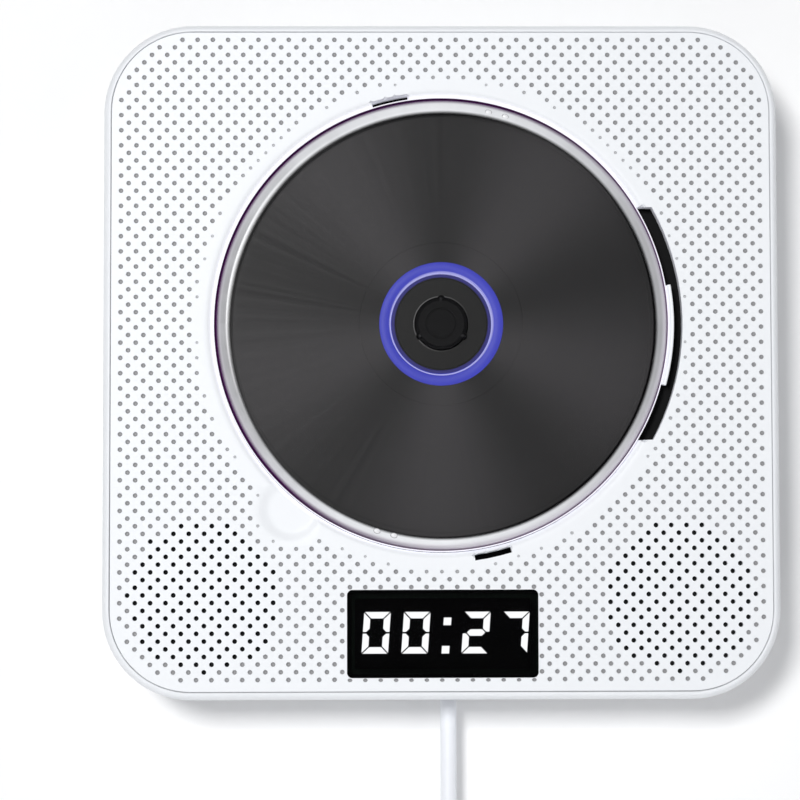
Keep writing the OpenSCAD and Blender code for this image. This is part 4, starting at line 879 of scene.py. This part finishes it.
def disc_face():
    """Charcoal with five soft rays of painted reflection: the brightness goes with cos(5 (angle -
    54 degrees)). The hub is black inside BLACK_R, then violet and blue, with a thin painted
    highlight line in the blue, widest at the upper right, and a painted highlight on the hole's
    edge at the upper left."""
    f = Finish("disc_face", (0.030, 0.029, 0.030), 0.42, Specular_IOR_Level=0.12)
    angle, radius = angle_and_radius(f)
    # Painted reflection: five broad rays of light across the grooves, fixed in the colour.
    reflection_ray = facing(angle, FIRST_RAY, 5.0)
    fine = f.streaks(angle, 9.0, 3.0, 4.0)
    face = f.mix(reflection_ray * (0.86 + 0.28 * fine), (0.0122, 0.0118, 0.0124, 1),
                 (0.0375, 0.0355, 0.0375, 1))
    # Painted highlight: a thin pale line in the blue, widest at the upper right.
    width = 0.00018 + 0.00030 * facing(angle, UPPER_RIGHT)
    ring_highlight = (radius > (0.01442 - width)) * (1 - (radius > (0.01438 + width)))
    face = f.mix(radius.band(VIOLET_R, BLUE_R), face, (0.052, 0.060, 0.50, 1))
    face = f.mix(ring_highlight, face, (0.46, 0.46, 0.86, 1))
    face = f.mix(radius.band(BLACK_R, VIOLET_R), face, (0.028, 0.026, 0.17, 1))
    face = f.mix(1 - (radius > BLACK_R), face, (0.006, 0.006, 0.006, 1))
    # Painted highlight on the edge of the centre hole, at the upper left.
    hole_edge_highlight = radius.band(0.00755, 0.00785) * facing(angle, UPPER_LEFT)
    face = f.mix(hole_edge_highlight, face, (0.13, 0.13, 0.13, 1))
    f.feed("Base Color", face)
    return f.feed("Roughness", 0.36 + 0.14 * fine)


def blue_ring():
    """Strong blue with a soft gloss, and a painted highlight on its inner rim that is widest at the
    upper right.
    """
    f = moulded("blue_ring", (0.055, 0.062, 0.50), 0.45, 0.0005, 0.000004, 0.10,
                Specular_IOR_Level=0.2)
    angle, radius = angle_and_radius(f)
    # Painted highlight on the inner rim, widest at the upper right.
    right = facing(angle, UPPER_RIGHT)
    rim_highlight = 1 - radius.smooth(0.01455, 0.01475 + 0.0003 * right)
    ink = f.mix(f.noise(0.02), (0.050, 0.056, 0.46, 1), (0.060, 0.068, 0.54, 1))
    return f.feed("Base Color", f.mix(rim_highlight * right, ink, (0.42, 0.42, 0.84, 1)))


def soft_seal():
    """A violet ring under the cover with a pale lip in the gap round it, which has a painted glow
    that keeps it bright in the gap's shade.
    """
    f = moulded("soft_seal", (0.16, 0.02, 0.20), 0.45, 0.0005, drift=0.15, Emission_Strength=1.0)
    _, radius = angle_and_radius(f)
    # Painted glow on the pale lip in the gap.
    glowing_lip = radius > 0.0637
    f.feed("Base Color", f.mix(glowing_lip, (0.15, 0.018, 0.19, 1), (0.80, 0.80, 0.84, 1)))
    return f.feed("Emission Color", f.mix(glowing_lip, (0, 0, 0, 1), (0.24, 0.23, 0.26, 1)))


FINISH["disc_face"], FINISH["blue_ring"] = disc_face(), blue_ring()
FINISH["violet_seal"] = soft_seal()
print("disc face, blue ring and seal")

# %% [markdown]
# ## Clear, smoked and lit
# The cover's flat top is so clear that only its gloss shows, and its shoulder looks like pale
# silver because it bends light round; that silver is painted reflection in its colour. A
# see-through amount that grows with the radius gives both.
# The window is smoked: mostly black gloss, with the lit digits just behind it.

# %% Clear cover, window and digits
SEEN_RIGHT, SEEN_LOW = 0.0004, 0.0005


def clear_cover():
    """By the distance from the hub: clear over the disc, a painted silver reflection at the
    shoulder that turns lavender towards its edge, and a dark violet line at the foot, which is
    painted shade in the gap, tinted violet like the seal. The line fades towards the lower right.
    The foot has a painted glow. The clear part's middle lies SEEN_RIGHT and SEEN_LOW metres off the
    hub, as it is seen."""
    f = Finish("clear_plastic", (0.80, 0.81, 0.83), 0.10, IOR=1.45, Specular_IOR_Level=0.3,
               Emission_Strength=1.0)
    angle, radius = angle_and_radius(f)
    x, _, z = f.axes()
    _, seen_radius = polar(f, x - SEEN_RIGHT, z - DISC_UP * MM + SEEN_LOW)
    shoulder = seen_radius.smooth(0.0594, 0.0606)
    streak = f.streaks(angle, 3.0, 2.0, 3.0)
    # Painted reflection: silver on the shoulder, brightest at top and bottom, lavender towards its
    # edge.
    upright = angle.wave(2.0, -math.pi / 2)
    painted_silver = f.mix(upright * 0.75 + 0.25 * streak, (0.30, 0.30, 0.31, 1), (0.86, 0.87, 0.89, 1))
    crest_reflection = f.mix(radius.smooth(0.0616, 0.0628), painted_silver, (0.60, 0.58, 0.62, 1))
    # Painted shade: a dark violet line at the cover's foot, strongest at the upper left.
    violet_shade_line = radius.smooth(0.0619, 0.0631) * facing_left(angle)
    edged = f.mix(violet_shade_line, crest_reflection, (0.048, 0.008, 0.058, 1))
    # Painted glow at the cover's foot, violet along the shade line.
    glow = f.mix(violet_shade_line, (0.08, 0.08, 0.085, 1), (0.012, 0.001, 0.015, 1))
    f.feed("Emission Color", f.mix(radius.smooth(0.0600, 0.0625), (0, 0, 0, 1), glow))
    f.feed("Base Color", f.mix(shoulder, (0.01, 0.01, 0.01, 1), edged))
    f.feed("Alpha", 0.02 + 0.96 * shoulder)
    return f.feed("Roughness", 0.16 + 0.10 * streak)


def smoked_window():
    """Black gloss that lets the digits through, with faint fingerprints in its gloss."""
    f = Finish("smoked_window", (0.002, 0.002, 0.002), 0.08, IOR=1.45, Alpha=0.62,
               Specular_IOR_Level=0.02)
    smear = f.noise(0.012, 4.0)
    f.feed("Base Color", f.mix(smear, (0.0010, 0.0010, 0.0012, 1), (0.0020, 0.0020, 0.0022, 1)))
    return f.feed("Roughness", 0.10 + 0.10 * smear)


def lit_digits():
    """White light that varies a little in soft clouds."""
    f = Finish("lit_digits", (0.9, 0.9, 0.9), 0.5, Emission_Strength=7.0)
    glow = f.noise(0.006)
    return f.feed("Emission Color", f.mix(glow, (0.93, 0.94, 0.97, 1), (1.0, 1.0, 1.0, 1)))


def lens_glass():
    """Dark blue glass under a thin film that shifts towards violet in places."""
    f = Finish("lens_glass", (0.16, 0.20, 0.42), 0.06, IOR=1.6, Coat_Weight=0.6)
    film = f.noise(0.002)
    f.feed("Base Color", f.mix(film, (0.12, 0.15, 0.40, 1), (0.26, 0.18, 0.44, 1)))
    return f.feed("Roughness", 0.05 + 0.04 * film)


FINISH["clear_plastic"], FINISH["smoked_window"] = clear_cover(), smoked_window()
FINISH["lit_digits"], FINISH["lens_glass"] = lit_digits(), lens_glass()
print("cover, window, digits and lens")

# %% [markdown]
# ## Boards and cloth
# A circuit board is green lacquer over copper tracks. A brick pattern turned small enough reads
# as tracks. The cloth is a plain weave: two sets of threads, each a wave across the other.

# %% Boards and cloth
def circuit_board():
    """Lacquer, lighter where the brick pattern stands for copper tracks."""
    f = Finish("circuit_board", (0.02, 0.12, 0.06), 0.35)
    tracks = f.node("ShaderNodeTexBrick", {"offset": 0.5},
                    {"Vector": f.place(), "Color1": (0, 0, 0, 1), "Color2": (0.3, 0.3, 0.3, 1),
                     "Mortar": (1, 1, 1, 1), "Scale": 260.0, "Mortar Size": 0.03}, output=1)
    f.feed("Base Color", f.mix(tracks, (0.015, 0.10, 0.05, 1), (0.06, 0.22, 0.10, 1)))
    f.feed("Roughness", 0.30 + 0.15 * f.noise(0.003))
    return f.bump(tracks, 0.2, 0.00003)


def grille_cloth():
    """Plain weave of 0.35 mm threads: the product of one wave across and one up."""
    f = Finish("grille_cloth", (0.006, 0.006, 0.007), 0.95)
    x, _, z = f.axes()
    pitch = 2 * math.pi / 0.00035
    weave = x.wave(pitch) * z.wave(pitch)
    f.feed("Base Color", f.mix(weave, (0.002, 0.002, 0.002, 1), (0.012, 0.012, 0.013, 1)))
    return f.bump(weave, 0.6, 0.00006)


FINISH["circuit_board"], FINISH["grille_cloth"] = circuit_board(), grille_cloth()
missing = sorted(set(SLOT.values()) - set(FINISH))
print(len(FINISH), "finishes; slots without one:", missing)

# %% [markdown]
# Three finishes are for single pieces: the dark clamp balls, the pips, which have a painted
# highlight on top and painted shade at their foot, and the deep black round the disc and behind the
# window.

# %% Finishes for single pieces
PIP_FOOT, PIP_TOP = 0.04284, 0.04304


def moulded_pip():
    """Painted shade at the foot rising to a painted highlight, over the last fifth of a millimetre
    towards the front.
    """
    f = Finish("moulded_pip", (0.7, 0.7, 0.72), 0.25)
    _, y, _ = f.axes()
    # Painted shade at the pip's foot and a painted highlight on its top.
    pip_highlight = (y * -1.0).smooth(PIP_FOOT, PIP_TOP)
    return f.feed("Base Color", f.mix(pip_highlight, (0.05, 0.05, 0.055, 1), (0.80, 0.80, 0.82, 1)))


DARK_STEEL = drawn("dark_steel", (0.020, 0.020, 0.021), 0.45, (20, 1, 20))
PIP = moulded_pip()
DEEP_BLACK = moulded("deep_black", (0.0035, 0.0035, 0.0040), 0.6, 0.0005, drift=0.2,
                     Specular_IOR_Level=0.10)
print("three finishes for single pieces")

# %% [markdown]
# Every piece gets the finish of its material slot. The special ones are put on last.

# %% Put every finish on
def wear(piece, finish):
    """Gives a piece one material in every slot."""
    piece.data.materials.clear()
    piece.data.materials.append(finish.material)


for node, piece in NODES.items():
    for n in range(max(1, len(piece.material_slots))):
        if not piece.material_slots:
            piece.data.materials.append(None)
        piece.material_slots[n].material = FINISH[SLOT[node]].material
for piece in list(bpy.context.scene.objects):
    if piece.get("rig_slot"):
        wear(piece, FINISH[piece["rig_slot"]])
wear(clamp_bearings, DARK_STEEL)
wear(cover_pips, PIP)
for shaded in (NODES["disc_tray"], NODES["display_module"], cap):
    wear(shaded, DEEP_BLACK)
print("all pieces are finished")

# %% [markdown]
# ## Stage and light
# The player hangs on a white wall, with a pale floor far below it. A large soft lamp from the
# upper left in front gives the drop shadow at the right and below, and the pale world fills the
# rest. The wall lets light and looks through from behind, so that the back can be seen too.

# %% Stage and light
def stage_plane(name, corners, colour):
    """A plain rectangle that belongs to the stage and not to the player."""
    data = bpy.data.meshes.new(name)
    data.from_pydata(corners, [], [(0, 1, 2, 3)])
    piece = show_mesh(name, data)
    f = moulded(name, colour, 0.8, 0.002, 0.00001, 0.004)
    wear(piece, f)
    return f


FAR, LOW, WALL_AT = 3.0, -0.9, 0.0003
wall = stage_plane("wall", [(-FAR, WALL_AT, LOW), (FAR, WALL_AT, LOW), (FAR, WALL_AT, FAR),
                            (-FAR, WALL_AT, FAR)], (0.96, 0.96, 0.96))
behind = wall.node("ShaderNodeNewGeometry", output=6)
for_shadow = wall.node("ShaderNodeLightPath", output=1)
through = wall.sum("MAXIMUM", behind, for_shadow)
clear = wall.node("ShaderNodeBsdfTransparent")
solid = Signal(wall, wall.shader.outputs[0])
both = wall.node("ShaderNodeMixShader", {}, {0: through, 1: solid, 2: clear})
end = next(n for n in wall.tree.nodes if n.type == "OUTPUT_MATERIAL")
wall.connect(end.inputs[0], both)
stage_plane("floor", [(-FAR, -FAR, LOW), (FAR, -FAR, LOW), (FAR, FAR, LOW), (-FAR, FAR, LOW)],
            (0.85, 0.85, 0.86))


def lamp(name, place, aim, size, power, colour=(1, 1, 1)):
    """A square soft lamp at a place, turned towards a point."""
    data = bpy.data.lights.new(name, "AREA")
    data.size, data.energy, data.color = size, power, colour
    piece = bpy.data.objects.new(name, data)
    bpy.context.scene.collection.objects.link(piece)
    piece.location = place
    piece.rotation_euler = (Vector(aim) - Vector(place)).to_track_quat("-Z", "Y").to_euler()
    return piece


lamp("key", (-0.43, -2.0, 0.29), (0, 0, 0), 0.34, 25.5)
lamp("fill", (1.6, -1.9, 0.1), (0, 0, 0), 1.4, 4)
lamp("back", (0.5, 2.0, 0.9), (0, 0, 0), 1.2, 8)
world = bpy.data.worlds.new("studio")
world.use_nodes = True
colour, strength = world.node_tree.nodes["Background"].inputs[:2]
colour.default_value, strength.default_value = (0.96, 0.97, 1.0, 1), 0.28
bpy.context.scene.world = world
bpy.context.scene.view_settings.view_transform = "Standard"
print("stage and light are set")
